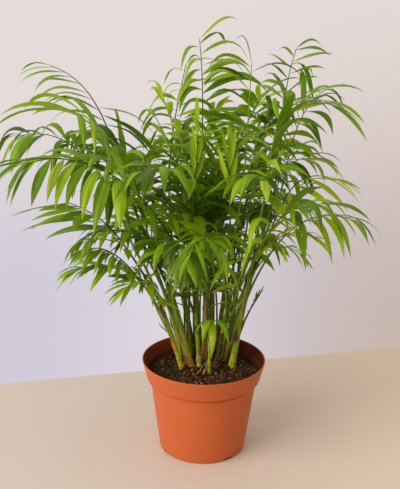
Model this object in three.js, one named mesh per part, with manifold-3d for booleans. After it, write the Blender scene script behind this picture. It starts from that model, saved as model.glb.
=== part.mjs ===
// A parlour palm grown as a clump of canes in a plain nursery pot.
// Units are millimetres, +Z is up, and the origin is the centre of the pot's flat underside.

import * as THREE from 'three';
import { mergeVertices } from 'three/addons/utils/BufferGeometryUtils.js';
import Module from 'manifold-3d';

const wasm = await Module();
wasm.setup();

// Pot
const potHeight = 131;
const rimRadius = 85;
const bandHeight = 27;
const bandFootRadius = 78;
const bodyTopRadius = 73.5;
const footRadius = 59.6;
const footRound = 2;
const wallThickness = 1.7;
const floorThickness = 2.4;
const shelfDrop = 1.2;
const lipHeight = 1;
const lipRound = 0.5;
const roundSteps = 40;
const drainSlots = { count: 4, width: 14, depth: 9, height: 4, firstAngle: -53 };

// Soil
const soilTop = 111;
const standRadius = 66;
const soilEdgeDrop = 2;
const soilLump = 1.6;
const lumpBand = 5;
const soilSlack = 0.4;

// Every piece keeps this far from the next, and a frond this far from the top of its cane
const clearance = 0.3;
const topClearance = 0.8;

// Canes: where each foot stands on the soil, where its top ends, and its radius at both
const canes = [
  { name: 'stem_far_left', foot: [-30, 4], top: [-80, -4, 262], radii: [3.8, 1.9] },
  { name: 'stem_left_thick', foot: [-19, 15], top: [-52, 8, 236], radii: [6.0, 2.8] },
  { name: 'stem_left_back', foot: [-13, 40], top: [-46, 70, 262], radii: [4.6, 2.1] },
  { name: 'stem_mid_left', foot: [-6, 15], top: [-16, 6, 226], radii: [3.5, 1.9] },
  { name: 'stem_mid', foot: [1, 30], top: [2, 40, 258], radii: [4.6, 2.2] },
  { name: 'stem_front_low', foot: [8, -4], top: [7, -10, 176], radii: [2.4, 1.6] },
  { name: 'stem_mid_back', foot: [6, 50], top: [10, 90, 266], radii: [4.4, 2.1] },
  { name: 'stem_mid_right', foot: [19, 42], top: [30, 18, 262], radii: [4.4, 2.1] },
  { name: 'stem_right_thin', foot: [31, 33], top: [46, 56, 234], radii: [3.2, 1.7] },
  { name: 'stem_right_thick', foot: [40, 17], top: [64, 8, 270], radii: [5.2, 2.5] },
  { name: 'stem_back_left', foot: [-30, 46], top: [-74, 84, 240], radii: [4.0, 2.0] },
  { name: 'stem_back', foot: [-5, 60], top: [-18, 116, 250], radii: [4.2, 2.0] },
  { name: 'stem_back_right', foot: [33, 50], top: [72, 98, 250], radii: [4.2, 2.0] },
  { name: 'stem_front_right', foot: [19, 21], top: [34, -40, 240], radii: [4.0, 2.0] },
];
const caneSides = 7;
const caneSteps = 5;
const caneBend = { aside: 0.4, upward: 0.5 };

// Fronds that give the crown its outline: tip of the rib, its slope there in degrees, the
// longest leaflet, how far the leaflets sag, and how many stand on each side of the rib
const outlineFronds = [
  { name: 'frond_top_left', cane: 1, tip: [-216, 90, 516], slope: 12,
    leaf: 92, width: 0.12, sag: 1.2, pairs: 8 },
  { name: 'frond_left_high', cane: 0, tip: [-172, -60, 478], slope: 10,
    roll: -15, leaf: 108, width: 0.14, sag: 1.3, pairs: 6 },
  { name: 'frond_left_near', cane: 3, tip: [-234, -130, 424], slope: -12,
    leaf: 94, width: 0.19, sag: 2.4, pairs: 8 },
  { name: 'frond_left_dark', cane: 10, tip: [-256, 60, 424], slope: -14,
    roll: -15, leaf: 88, sag: 1.7, pairs: 7 },
  { name: 'frond_left_low', cane: 0, from: 0.8, tip: [-166, -92, 372], slope: 26,
    roll: -50, open: 0.76, leaf: 104, width: 0.13, sag: 0.5, pairs: 7 },
  { name: 'frond_left_lowest', cane: 0, from: 0.58, tip: [-166, -34, 288], slope: -34,
    leaf: 50, sag: 1.5, pairs: 7 },
  { name: 'frond_left_small', cane: 1, from: 0.6, tip: [-178, -16, 256], slope: -26,
    leaf: 40, sag: 2.0, pairs: 8 },
  { name: 'frond_left_under', cane: 0, from: 0.4, tip: [-112, -10, 246], slope: -36,
    leaf: 38, sag: 1.8, pairs: 5 },
  { name: 'frond_top', cane: 4, tip: [-14, 62, 556], slope: 78,
    lift: 0.34, leaf: 92, width: 0.12, sag: 1.3, pairs: 8 },
  { name: 'frond_top_thin', cane: 2, tip: [-32, 92, 520], slope: 70,
    roll: 10, leaf: 62, width: 0.13, sag: 1.4, pairs: 8 },
  { name: 'frond_top_right', cane: 7, tip: [50, -36, 536], slope: 84,
    roll: -15, leaf: 84, sag: 1.5, pairs: 7 },
  { name: 'frond_right_high', cane: 9, tip: [112, 50, 548], slope: 66,
    roll: 30, leaf: 62, sag: 1.4, pairs: 7 },
  { name: 'frond_right_dark', cane: 12, tip: [142, 50, 488], slope: 50,
    roll: 70, leaf: 96, width: 0.12, sag: 1.6, pairs: 8 },
  { name: 'frond_right_broad', cane: 13, tip: [136, -60, 496], slope: -4,
    roll: 25, rise: 0.72, leaf: 88, sag: 0.9, pairs: 7 },
  { name: 'frond_right_mid', cane: 9, from: 0.86, tip: [150, -40, 398], slope: -6,
    roll: 25, leaf: 92, width: 0.13, sag: 1.0, pairs: 7 },
  { name: 'frond_right_low', cane: 9, from: 0.7, tip: [178, -60, 350], slope: -8,
    roll: 15, leaf: 74, width: 0.13, sag: 1.9, pairs: 8 },
  { name: 'frond_right_tiny', cane: 9, from: 0.4, tip: [76, 6, 226], slope: 60,
    leaf: 18, sag: 0.8, pairs: 4 },
  { name: 'frond_front_right', cane: 13, from: 0.84, tip: [126, -130, 374], slope: -28,
    leaf: 94, width: 0.18, sag: 2.6, pairs: 7 },
  { name: 'frond_front', cane: 13, from: 0.68, tip: [-18, -170, 338], slope: -36,
    leaf: 62, width: 0.18, sag: 2.2, pairs: 7 },
  { name: 'frond_low_tuft', cane: 5, tip: [12, -34, 198], slope: -10,
    leaf: 50, width: 0.2, sag: 3.2, pairs: 2 },
  { name: 'frond_spear_left', cane: 3, from: 0.86, tip: [-13, -60, 470], slope: 88,
    open: 0.16, leaf: 54, sag: 0.1, pairs: 3 },
  { name: 'frond_spear_right', cane: 7, from: 0.86, tip: [24, -70, 440], slope: 80,
    open: 0.2, leaf: 56, sag: 0.1, pairs: 3 },
];

// Fronds that fill the crown, laid out in rings round the clump
const crownCentre = [0, 18];
const fillRings = [
  { name: 'frond_upright', count: 6, start: 25, reach: 80, height: 464, slope: 58,
    leaf: 74, sag: 1.4, pairs: 7 },
  { name: 'frond_arching', count: 8, start: 62, reach: 158, height: 412, slope: 0,
    leaf: 80, sag: 1.8, pairs: 7 },
  { name: 'frond_spreading', count: 8, start: 36, reach: 160, height: 308, slope: -34,
    leaf: 68, sag: 1.7, pairs: 7 },
];
const ringWobble = { reach: 0.08, height: 16 };
const frondsPerCane = 4;
const caneRootStep = 0.13;
const caneLoadCost = 24;
const leastCaneTop = 200;

// Rib of a frond
const ribRadii = [1.7, 0.8];
const petioleShare = 0.4;
const petioleSteps = 4;
const ribHandles = { start: 0.5, end: 0.34 };
const outwardLean = 0.22;

// Room between ribs, and how a rib swings aside where it lacks that room
const ribRoom = 5.2;
const caneRoom = 2.6;
const roomSamples = 60;
const rootShare = 0.3;
const swingStep = 3;
const swingTries = 24;

// Leaflets
const leafletAngles = [74, 26];
const leafletLift = 0.22;
const leafletWidth = 0.17;
const leafletThickness = 0.014;
const leafletFullness = { least: 0.62, start: 0.2, spread: 0.72 };
const sagPower = 1.4;
const leafletSections = [{ at: 0.34, width: 1 }, { at: 0.7, width: 0.62 }];
const leafletLineSteps = 12;
const neckShare = 0.25;
const leafletRetries = [
  { turn: 0, length: 1 },
  { turn: 9, length: 0.96 },
  { turn: -9, length: 0.92 },
  { turn: 4, length: 0.74 },
  { turn: -14, length: 0.7 },
  { turn: 0, length: 0.5 },
];

const finishes = {
  pot: { color: 0xc76a3e, roughness: 0.55, metalness: 0 },
  soil: { color: 0x3a2516, roughness: 1, metalness: 0 },
  cane: { color: 0x7f8f2f, roughness: 0.6, metalness: 0 },
  frond: { color: 0x5f8f16, roughness: 0.5, metalness: 0 },
};

const upward = new THREE.Vector3(0, 0, 1);

const radians = THREE.MathUtils.degToRad;
const mix = THREE.MathUtils.lerp;

// A repeatable scatter between -1 and 1
function scatter(seed) {
  const wave = Math.sin(seed * 12.9898 + 4.1414) * 43758.5453;
  return (wave - Math.floor(wave)) * 2 - 1;
}

// A closed surface put together from corner points and faces that turn counter-clockwise
class Shell {
  constructor() {
    this.points = [];
    this.corners = [];
  }

  ring(points) {
    const first = this.points.length;
    this.points.push(...points);
    return points.map((point, index) => first + index);
  }

  // A face of four corners folds along the diagonal that makes it bulge outwards
  face(...corners) {
    const turn = corners.length === 4 && this.rises(...corners) ? 1 : 0;
    const [first, ...rest] = [...corners.slice(turn), ...corners.slice(0, turn)];
    for (let last = 1; last < rest.length; last += 1) {
      this.corners.push(first, rest[last - 1], rest[last]);
    }
  }

  rises(...corners) {
    const [start, ...others] = corners.map((corner) => this.points[corner]);
    const [second, third, fourth] = others.map((point) => point.clone().sub(start));
    return second.cross(third).dot(fourth) > 0;
  }

  // One side of the wall between two rings of the same count
  side(lower, upper, index) {
    const next = (index + 1) % lower.length;
    this.face(lower[index], lower[next], upper[next], upper[index]);
  }

  wall(lower, upper) {
    lower.forEach((corner, index) => this.side(lower, upper, index));
  }

  point(ring, tip) {
    ring.forEach((corner, index) => this.face(corner, ring[(index + 1) % ring.length], tip));
  }

  // The wall on from a ring through further rings to a point
  taper(start, rings, tip) {
    let lower = start;
    for (const points of rings) {
      const upper = this.ring(points);
      this.wall(lower, upper);
      lower = upper;
    }
    this.point(lower, this.ring([tip])[0]);
  }

  startCap(ring) {
    this.face(...[...ring].reverse());
  }

  endCap(ring) {
    this.face(...ring);
  }

  geometry(origin) {
    const geometry = new THREE.BufferGeometry();
    const placed = this.points.flatMap((point) => point.clone().sub(origin).toArray());
    geometry.setAttribute('position', new THREE.Float32BufferAttribute(placed, 3));
    geometry.setIndex(this.corners);
    return geometry;
  }

  solid() {
    return solidOf(this.geometry(new THREE.Vector3()));
  }
}

function solidOf(geometry) {
  const bare = geometry.clone();
  bare.deleteAttribute('normal');
  bare.deleteAttribute('uv');
  const merged = mergeVertices(bare, 1e-4);
  return new wasm.Manifold(new wasm.Mesh({
    numProp: 3,
    vertProperties: new Float32Array(merged.attributes.position.array),
    triVerts: new Uint32Array(merged.index.array),
  }));
}

function geometryOf(solid) {
  const mesh = solid.getMesh();
  const geometry = new THREE.BufferGeometry();
  geometry.setAttribute('position', new THREE.Float32BufferAttribute(mesh.vertProperties, 3));
  geometry.setIndex([...mesh.triVerts]);
  return geometry;
}

// A solid of revolution about +Z from (radius, height) points
function turned(profile) {
  const points = profile.map(([radius, height]) => new THREE.Vector2(radius, height));
  const geometry = new THREE.LatheGeometry(points, roundSteps);
  return geometry.rotateX(Math.PI / 2);
}

function named(name, geometry, finish, origin = new THREE.Vector3()) {
  const mesh = new THREE.Mesh(geometry, new THREE.MeshStandardMaterial(finish));
  mesh.name = name;
  mesh.position.copy(origin);
  return mesh;
}

// Pot: a tapered shell with a stepped rim band and drain slots through the corner of its floor

const bandFoot = potHeight - bandHeight;

function wallRadiusAt(height) {
  const share = (height - bandFoot) / bandHeight;
  return mix(bandFootRadius, rimRadius, share) - wallThickness;
}

function potSolid() {
  const profile = [
    [0, 0],
    [footRadius - footRound, 0],
    [footRadius, footRound],
    [bodyTopRadius, bandFoot - shelfDrop],
    [bandFootRadius, bandFoot],
    [rimRadius, potHeight - lipHeight],
    [rimRadius - lipRound, potHeight],
    [rimRadius - wallThickness + lipRound, potHeight],
    [rimRadius - wallThickness, potHeight - lipHeight],
    [bandFootRadius - wallThickness, bandFoot + wallThickness],
    [bodyTopRadius - wallThickness, bandFoot - shelfDrop],
    [footRadius - wallThickness, floorThickness],
    [0, floorThickness],
  ];
  let pot = solidOf(turned(profile));
  for (let slot = 0; slot < drainSlots.count; slot += 1) {
    const angle = radians(drainSlots.firstAngle + (slot * 360) / drainSlots.count);
    const cutter = new THREE.BoxGeometry(drainSlots.depth, drainSlots.width, drainSlots.height * 2);
    cutter.translate(footRadius - drainSlots.depth / 4, 0, 0);
    cutter.rotateZ(angle);
    pot = pot.subtract(solidOf(cutter));
  }
  return pot;
}

// Soil: fills the pot, flat where the canes stand and lumpy round the edge

function soilGeometry() {
  const edgeHeight = soilTop - soilEdgeDrop;
  const lumpRadius = standRadius + lumpBand;
  const inset = wallThickness + clearance + soilSlack;
  const profile = [
    [0, floorThickness + clearance],
    [footRadius - inset, floorThickness + clearance],
    [bodyTopRadius - inset, bandFoot - shelfDrop - clearance],
    [wallRadiusAt(edgeHeight) - clearance - soilSlack, edgeHeight],
    [lumpRadius, soilTop],
    [standRadius, soilTop],
    [0, soilTop],
  ];
  const geometry = turned(profile);
  const places = geometry.attributes.position;
  for (let index = 0; index < places.count; index += 1) {
    const radius = Math.hypot(places.getX(index), places.getY(index));
    if (Math.abs(radius - lumpRadius) < 1 && places.getZ(index) > bandFoot) {
      const turn = Math.round(Math.atan2(places.getY(index), places.getX(index)) * roundSteps);
      places.setZ(index, soilTop + soilLump * scatter(turn));
    }
  }
  return geometry;
}

// Canes: tapered stems that lean out from the clump, cut flat where they stand on the soil

function growCane(plan) {
  const foot = new THREE.Vector3(plan.foot[0], plan.foot[1], soilTop + clearance);
  const top = new THREE.Vector3(...plan.top);
  const bend = foot.clone().lerp(top, caneBend.aside);
  bend.z = mix(foot.z, top.z, caneBend.upward);
  const line = new THREE.QuadraticBezierCurve3(foot, bend, top);
  const radiusAt = (share) => mix(plan.radii[0], plan.radii[1], share);
  const shell = new Shell();
  let lower = null;
  for (let step = 0; step <= caneSteps; step += 1) {
    const share = step / caneSteps;
    const centre = line.getPoint(share);
    const facing = step === 0 ? upward : line.getTangent(share);
    const tilt = new THREE.Quaternion().setFromUnitVectors(upward, facing);
    const ring = shell.ring(Array.from({ length: caneSides }, (unused, side) => {
      const angle = (side / caneSides) * 2 * Math.PI;
      const offset = new THREE.Vector3(Math.cos(angle), Math.sin(angle), 0).applyQuaternion(tilt);
      return offset.multiplyScalar(radiusAt(share)).add(centre);
    }));
    if (lower) {
      shell.wall(lower, ring);
    } else {
      shell.startCap(ring);
    }
    lower = ring;
  }
  shell.endCap(lower);
  return { ...plan, line, radiusAt, shell, foot, top, load: 0 };
}

// Ribs: each leaves its cane along the stem, arches over and ends at its tip

// How far the flat-sided wall of a cane stands from its line, in a direction square to it
function caneWallAt(cane, share, direction) {
  const upright = new THREE.Quaternion().setFromUnitVectors(cane.line.getTangent(share), upward);
  const { x, y } = direction.clone().applyQuaternion(upright);
  const side = (2 * Math.PI) / caneSides;
  const offMiddle = THREE.MathUtils.euclideanModulo(Math.atan2(y, x), side) - side / 2;
  return (cane.radiusAt(share) * Math.cos(side / 2)) / Math.cos(offMiddle);
}

function ribLine(plan, cane, swing) {
  const from = plan.from ?? 1;
  const seat = cane.line.getPoint(from);
  const along = cane.line.getTangent(from);
  const reach = new THREE.Vector3(...plan.tip).sub(seat);
  reach.applyAxisAngle(upward, radians(swing));
  const tip = seat.clone().add(reach);
  const out = new THREE.Vector3(reach.x, reach.y, 0).normalize();
  const start = seat.clone();
  if (from < 1) {
    const aside = out.clone().addScaledVector(along, -out.dot(along)).normalize();
    start.addScaledVector(aside, caneWallAt(cane, from, aside) + clearance);
  } else {
    start.addScaledVector(along, topClearance);
  }
  const span = start.distanceTo(tip);
  const leaving = along.clone().addScaledVector(out, outwardLean).normalize();
  const arriving = out.clone().multiplyScalar(Math.cos(radians(plan.slope)));
  arriving.z = Math.sin(radians(plan.slope));
  const firstHandle = start.clone().addScaledVector(leaving, span * (plan.rise ?? ribHandles.start));
  const lastHandle = tip.clone().addScaledVector(arriving, -span * ribHandles.end);
  return { curve: new THREE.CubicBezierCurve3(start, firstHandle, lastHandle, tip), out, start };
}

function nearest(pointsA, pointsB) {
  let best = Infinity;
  for (const a of pointsA) {
    for (const b of pointsB) {
      best = Math.min(best, a.distanceToSquared(b));
    }
  }
  return Math.sqrt(best);
}

function hasRoom(samples, plan, grownCanes, grownRibs) {
  const ownStart = Math.round(roomSamples * rootShare);
  const clearOfCanes = grownCanes.every((cane, index) => {
    const tested = index === plan.cane ? samples.slice(ownStart) : samples;
    return nearest(tested, cane.samples) > cane.radii[0] + caneRoom;
  });
  return clearOfCanes && grownRibs.every((rib) => nearest(samples, rib.samples) > ribRoom);
}

function growRib(choices, grownCanes, grownRibs) {
  for (const plan of choices) {
    const cane = grownCanes[plan.cane];
    for (let attempt = 0; attempt < swingTries; attempt += 1) {
      const swing = Math.ceil(attempt / 2) * swingStep * (attempt % 2 ? 1 : -1);
      const rib = ribLine(plan, cane, swing);
      const samples = rib.curve.getPoints(roomSamples);
      if (hasRoom(samples, plan, grownCanes, grownRibs)) {
        cane.load += 1;
        return { ...plan, ...rib, samples, swing };
      }
    }
  }
  throw new Error(`no room for ${choices[0].name}`);
}

// The rings of filling fronds
function planFill() {
  const plans = [];
  fillRings.forEach((ring, ringIndex) => {
    for (let index = 0; index < ring.count; index += 1) {
      const seed = ringIndex * 50 + index;
      const angle = radians(ring.start + (index * 360) / ring.count);
      const reach = ring.reach * (1 + ringWobble.reach * scatter(seed + 0.3));
      const tip = [
        crownCentre[0] + reach * Math.cos(angle),
        crownCentre[1] + reach * Math.sin(angle),
        ring.height + ringWobble.height * scatter(seed + 0.7),
      ];
      plans.push({ ...ring, name: `${ring.name}_${index + 1}`, tip, seed });
    }
  });
  return plans;
}

// Canes in the order in which a filling frond tries them: near its tip and lightly laden first
function canesToTry(plan, grownCanes) {
  const tip = new THREE.Vector3(...plan.tip);
  return grownCanes
    .map((cane, index) => ({ cane, index, cost: cane.top.distanceTo(tip) + cane.load * caneLoadCost }))
    .filter(({ cane }) => cane.load < frondsPerCane && cane.top.z > leastCaneTop)
    .sort((one, other) => one.cost - other.cost)
    .map(({ cane, index }) => ({ ...plan, cane: index, from: 1 - caneRootStep * cane.load }));
}

// The frame of a rib at a share of its length: forward, to its left, and up out of the blade.
// The petiole leaves its cane level, and rolls over on the way to the blade.
function ribFrame(rib, share) {
  const centre = rib.curve.getPoint(share);
  const forward = rib.curve.getTangent(share);
  const left = new THREE.Vector3(-rib.out.y, rib.out.x, 0);
  const up = forward.clone().cross(left).normalize();
  left.copy(up).cross(forward);
  const roll = radians(rib.roll ?? 0) * Math.min(1, share / petioleShare);
  left.applyAxisAngle(forward, roll);
  up.applyAxisAngle(forward, roll);
  return { centre, forward, left, up };
}

function ribRadiusAt(share) {
  return mix(ribRadii[0], ribRadii[1], share);
}

// Leaflets: each leaves the rib at an angle that closes towards the tip, and sags to its point

function leafletPlan(rib, index, retry) {
  const count = rib.pairs * 2;
  const place = (index + 0.5) / count;
  const side = index % 2 ? -1 : 1;
  const share = mix(petioleShare, 1, place);
  const frame = ribFrame(rib, share);
  const open = (rib.open ?? 1) * (mix(leafletAngles[0], leafletAngles[1], place) + retry.turn);
  const heading = frame.forward.clone().multiplyScalar(Math.cos(radians(open)));
  heading.addScaledVector(frame.left, side * Math.sin(radians(open)));
  heading.addScaledVector(frame.up, (rib.lift ?? leafletLift) * (rib.open ?? 1)).normalize();
  const swell = Math.sin(Math.PI * (leafletFullness.start + leafletFullness.spread * place));
  const fullness = mix(leafletFullness.least, 1, swell);
  const length = rib.leaf * fullness * retry.length;
  const width = length * (rib.width ?? leafletWidth);
  return { side, frame, share, heading, length, width, sag: rib.sag };
}

function leafletSectionsOf(plan) {
  const across = plan.heading.clone().cross(plan.frame.up).normalize();
  const centre = plan.frame.centre.clone();
  centre.addScaledVector(plan.frame.left, plan.side * ribRadiusAt(plan.share));
  const sections = [{ at: 0, centre: centre.clone(), heading: plan.heading }];
  for (let step = 1; step <= leafletLineSteps; step += 1) {
    const share = (step - 0.5) / leafletLineSteps;
    const heading = plan.heading.clone().addScaledVector(upward, -plan.sag * share ** sagPower);
    heading.normalize();
    centre.addScaledVector(heading, plan.length / leafletLineSteps);
    sections.push({ at: step / leafletLineSteps, centre: centre.clone(), heading });
  }
  return sections.map((section) => {
    const width = across.clone().addScaledVector(section.heading, -across.dot(section.heading));
    width.normalize();
    const up = width.clone().cross(section.heading);
    return { ...section, across: width, up };
  });
}

function leafletRing(section, width, thickness, grow) {
  const half = width / 2 + grow;
  const lift = section.up.clone().multiplyScalar(grow);
  return [
    section.centre.clone().addScaledVector(section.across, -half).add(lift),
    section.centre.clone().addScaledVector(section.across, half).add(lift),
    section.centre.clone().addScaledVector(section.up, -thickness - grow),
  ];
}

function leafletParts(plan, grow = 0) {
  const sections = leafletSectionsOf(plan);
  const thickness = plan.length * leafletThickness;
  const rings = leafletSections.map(({ at, width }) => {
    const section = sections[Math.round(at * leafletLineSteps)];
    return leafletRing(section, plan.width * width, thickness, grow);
  });
  const last = sections[leafletLineSteps];
  const tip = last.centre.clone().addScaledVector(last.heading, grow);
  return { rings, tip };
}

function touches(probe, others) {
  return others.some(({ solid, box }) => box.intersectsBox(probe.box)
    && !solid.intersect(probe.solid).isEmpty());
}

// Ribs carry three edges: left, right and keel. A leaflet grows out of one side of a rib segment.
function ribRing(rib, share) {
  const { centre, left, up } = ribFrame(rib, share);
  const radius = ribRadiusAt(share);
  return [
    centre.clone().addScaledVector(left, radius),
    centre.clone().addScaledVector(left, -radius),
    centre.clone().addScaledVector(up, -radius),
  ];
}

// The corners of a leaflet's root, from two rings of its rib: low and high at the back of the
// leaflet, then high and low at its front
function rootCorners(side, lower, upper) {
  if (side > 0) {
    return [lower[2], lower[0], upper[0], upper[2]];
  }
  return [upper[2], upper[1], lower[1], lower[2]];
}

function growLeaflet(shell, root, plan, grow = 0) {
  const { rings, tip } = leafletParts(plan, grow);
  const [lowBack, highBack, highFront, lowFront] = root;
  const middle = shell.ring(rings[0]);
  const [back, front, keel] = middle;
  shell.face(highBack, highFront, front, back);
  shell.face(highFront, lowFront, keel, front);
  shell.face(lowFront, lowBack, keel);
  shell.face(lowBack, highBack, back, keel);
  shell.taper(middle, rings.slice(1), tip);
}

// The leaflet alone, a little swollen, to try whether it would touch anything. Its outer part
// starts far enough from the rib to be tried against that rib too.
function leafletProbe(rib, index, plan) {
  const [lower, upper] = [index, index + 1].map((step) => (
    ribRing(rib, mix(petioleShare, 1, step / (rib.pairs * 2)))));
  const corners = rootCorners(plan.side, lower, upper);
  const along = corners[2].clone().sub(corners[1]).normalize();
  const swollen = corners.map((corner, place) => {
    const forward = place < 2 ? -clearance : clearance;
    const lift = place === 1 || place === 2 ? clearance : -clearance;
    return corner.clone().addScaledVector(along, forward).addScaledVector(plan.frame.up, lift);
  });
  const whole = new Shell();
  const root = whole.ring(swollen);
  whole.startCap(root);
  growLeaflet(whole, root, plan, clearance);
  const { rings, tip } = leafletParts(plan, clearance);
  const foot = [swollen[1], swollen[2], swollen[0].clone().lerp(swollen[3], 0.5)];
  const neck = foot.map((corner, place) => corner.clone().lerp(rings[0][place], neckShare));
  const outer = new Shell();
  const start = outer.ring(neck);
  outer.startCap(start);
  outer.taper(start, rings, tip);
  return { ...asObstacle(whole), outer: asObstacle(outer) };
}

function ribShares(rib) {
  const petiole = Array.from({ length: petioleSteps }, (unused, step) => (
    (petioleShare * step) / petioleSteps));
  const count = rib.pairs * 2;
  const blade = Array.from({ length: count + 1 }, (unused, step) => (
    mix(petioleShare, 1, step / count)));
  return [...petiole, ...blade];
}

function frondShell(rib, leaflets) {
  const shell = new Shell();
  let lower = null;
  ribShares(rib).forEach((share, step) => {
    const upper = shell.ring(ribRing(rib, share));
    if (!lower) {
      shell.startCap(upper);
    } else {
      const leaflet = leaflets.get(step - petioleSteps - 1);
      shell.side(lower, upper, 0);
      const [rightSide, leftSide] = [1, 2];
      for (const side of [rightSide, leftSide]) {
        if (!leaflet || (leaflet.side > 0) !== (side === leftSide)) {
          shell.side(lower, upper, side);
        }
      }
      if (leaflet) {
        growLeaflet(shell, rootCorners(leaflet.side, lower, upper), leaflet);
      }
    }
    lower = upper;
  });
  shell.endCap(lower);
  return shell;
}

function asObstacle(shell) {
  return { solid: shell.solid(), box: new THREE.Box3().setFromPoints(shell.points) };
}

// Tries each leaflet of a rib in turn, and leaves out one that cannot grow clear of the rest
function chooseLeaflets(rib, bareRib, others) {
  const leaflets = new Map();
  const ownProbes = [[], []];
  for (let index = 0; index < rib.pairs * 2; index += 1) {
    const sameSide = ownProbes[index % 2];
    const otherSide = ownProbes[(index + 1) % 2];
    for (const retry of leafletRetries) {
      const plan = leafletPlan(rib, index, retry);
      const probe = leafletProbe(rib, index, plan);
      const inTheWay = [...others, ...sameSide, ...otherSide.map(({ outer }) => outer)];
      if (!touches(probe, inTheWay) && !touches(probe.outer, [bareRib, ...otherSide])) {
        leaflets.set(index, plan);
        sameSide.push(probe);
        break;
      }
    }
  }
  return { leaflets, probes: ownProbes.flat() };
}

// The whole plant

const palm = new THREE.Group();
const pot = potSolid();
const soil = soilGeometry();
palm.add(named('pot', geometryOf(pot), finishes.pot));
palm.add(named('soil', soil, finishes.soil));

const grownCanes = canes.map(growCane);
for (const cane of grownCanes) {
  cane.samples = cane.line.getPoints(roomSamples);
  palm.add(named(cane.name, cane.shell.geometry(cane.foot), finishes.cane, cane.foot));
}

const ribs = [];
for (const plan of outlineFronds) {
  ribs.push(growRib([plan], grownCanes, ribs));
}
for (const plan of planFill()) {
  ribs.push(growRib(canesToTry(plan, grownCanes), grownCanes, ribs));
}

const still = [
  { solid: pot, box: new THREE.Box3(
    new THREE.Vector3(-rimRadius, -rimRadius, 0),
    new THREE.Vector3(rimRadius, rimRadius, potHeight),
  ) },
  ...grownCanes.map((cane) => asObstacle(cane.shell)),
];
const bareRibs = ribs.map((rib) => asObstacle(frondShell(rib, new Map())));
const grownLeaflets = [];
ribs.forEach((rib, index) => {
  const otherRibs = bareRibs.filter((unused, other) => other !== index);
  const others = [...still, ...otherRibs, ...grownLeaflets];
  const { leaflets, probes } = chooseLeaflets(rib, bareRibs[index], others);
  grownLeaflets.push(...probes);
  const shell = frondShell(rib, leaflets);
  palm.add(named(rib.name, shell.geometry(rib.start), finishes.frond, rib.start));
});

export default palm;
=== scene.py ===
import math
from itertools import combinations

import bpy
import numpy as np
from mathutils import Euler, Matrix, Vector, noise
from mathutils.bvhtree import BVHTree


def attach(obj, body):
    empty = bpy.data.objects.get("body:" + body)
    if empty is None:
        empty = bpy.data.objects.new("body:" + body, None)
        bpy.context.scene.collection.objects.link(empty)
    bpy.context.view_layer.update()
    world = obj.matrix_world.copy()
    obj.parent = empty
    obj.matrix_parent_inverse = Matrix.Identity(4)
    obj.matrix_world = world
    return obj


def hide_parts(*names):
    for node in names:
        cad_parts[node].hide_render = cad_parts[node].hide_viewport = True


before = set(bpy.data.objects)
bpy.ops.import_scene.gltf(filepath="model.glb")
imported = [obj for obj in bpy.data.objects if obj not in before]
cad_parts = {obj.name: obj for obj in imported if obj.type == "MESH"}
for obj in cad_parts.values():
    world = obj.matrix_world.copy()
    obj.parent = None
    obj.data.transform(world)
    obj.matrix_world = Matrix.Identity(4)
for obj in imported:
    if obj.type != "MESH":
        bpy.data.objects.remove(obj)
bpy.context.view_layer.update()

# Everything is grown in millimetres and made in metres.
mm = 0.001
upward = np.array([0.0, 0.0, 1.0])
fullTurn = 2 * math.pi


# small sums that the pieces share

def scatter(seed):
    # a repeatable scatter between -1 and 1
    wave = math.sin(seed * 12.9898 + 4.1414) * 43758.5453
    return (wave - math.floor(wave)) * 2 - 1


def chance(seed):
    # the same between 0 and 1
    return scatter(seed) * 0.5 + 0.5


def mix(first, last, share):
    return first + (last - first) * share


def smooth(low, high, value):
    share = np.clip((value - low) / (high - low), 0, 1)
    return share * share * (3 - 2 * share)


def unit(vectors):
    return vectors / np.linalg.norm(vectors, axis=-1, keepdims=True)


def turned(vector, axis, angle):
    across = np.cross(axis, vector) * math.sin(angle)
    return vector * math.cos(angle) + across + axis * np.dot(axis, vector) * (1 - math.cos(angle))


def curveAt(handles, shares):
    # a point, or a row of points, of the Bezier curve with these handles
    shares = np.asarray(shares, float)[..., None]
    row = list(handles)
    while len(row) > 1:
        row = [first * (1 - shares) + last * shares for first, last in zip(row, row[1:])]
    return row[0]


def headingAt(handles, shares):
    return unit(curveAt([last - first for first, last in zip(handles, handles[1:])], shares))


def anglesRound(count):
    return np.arange(count) / count * fullTurn


# meshes from grids of points

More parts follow.
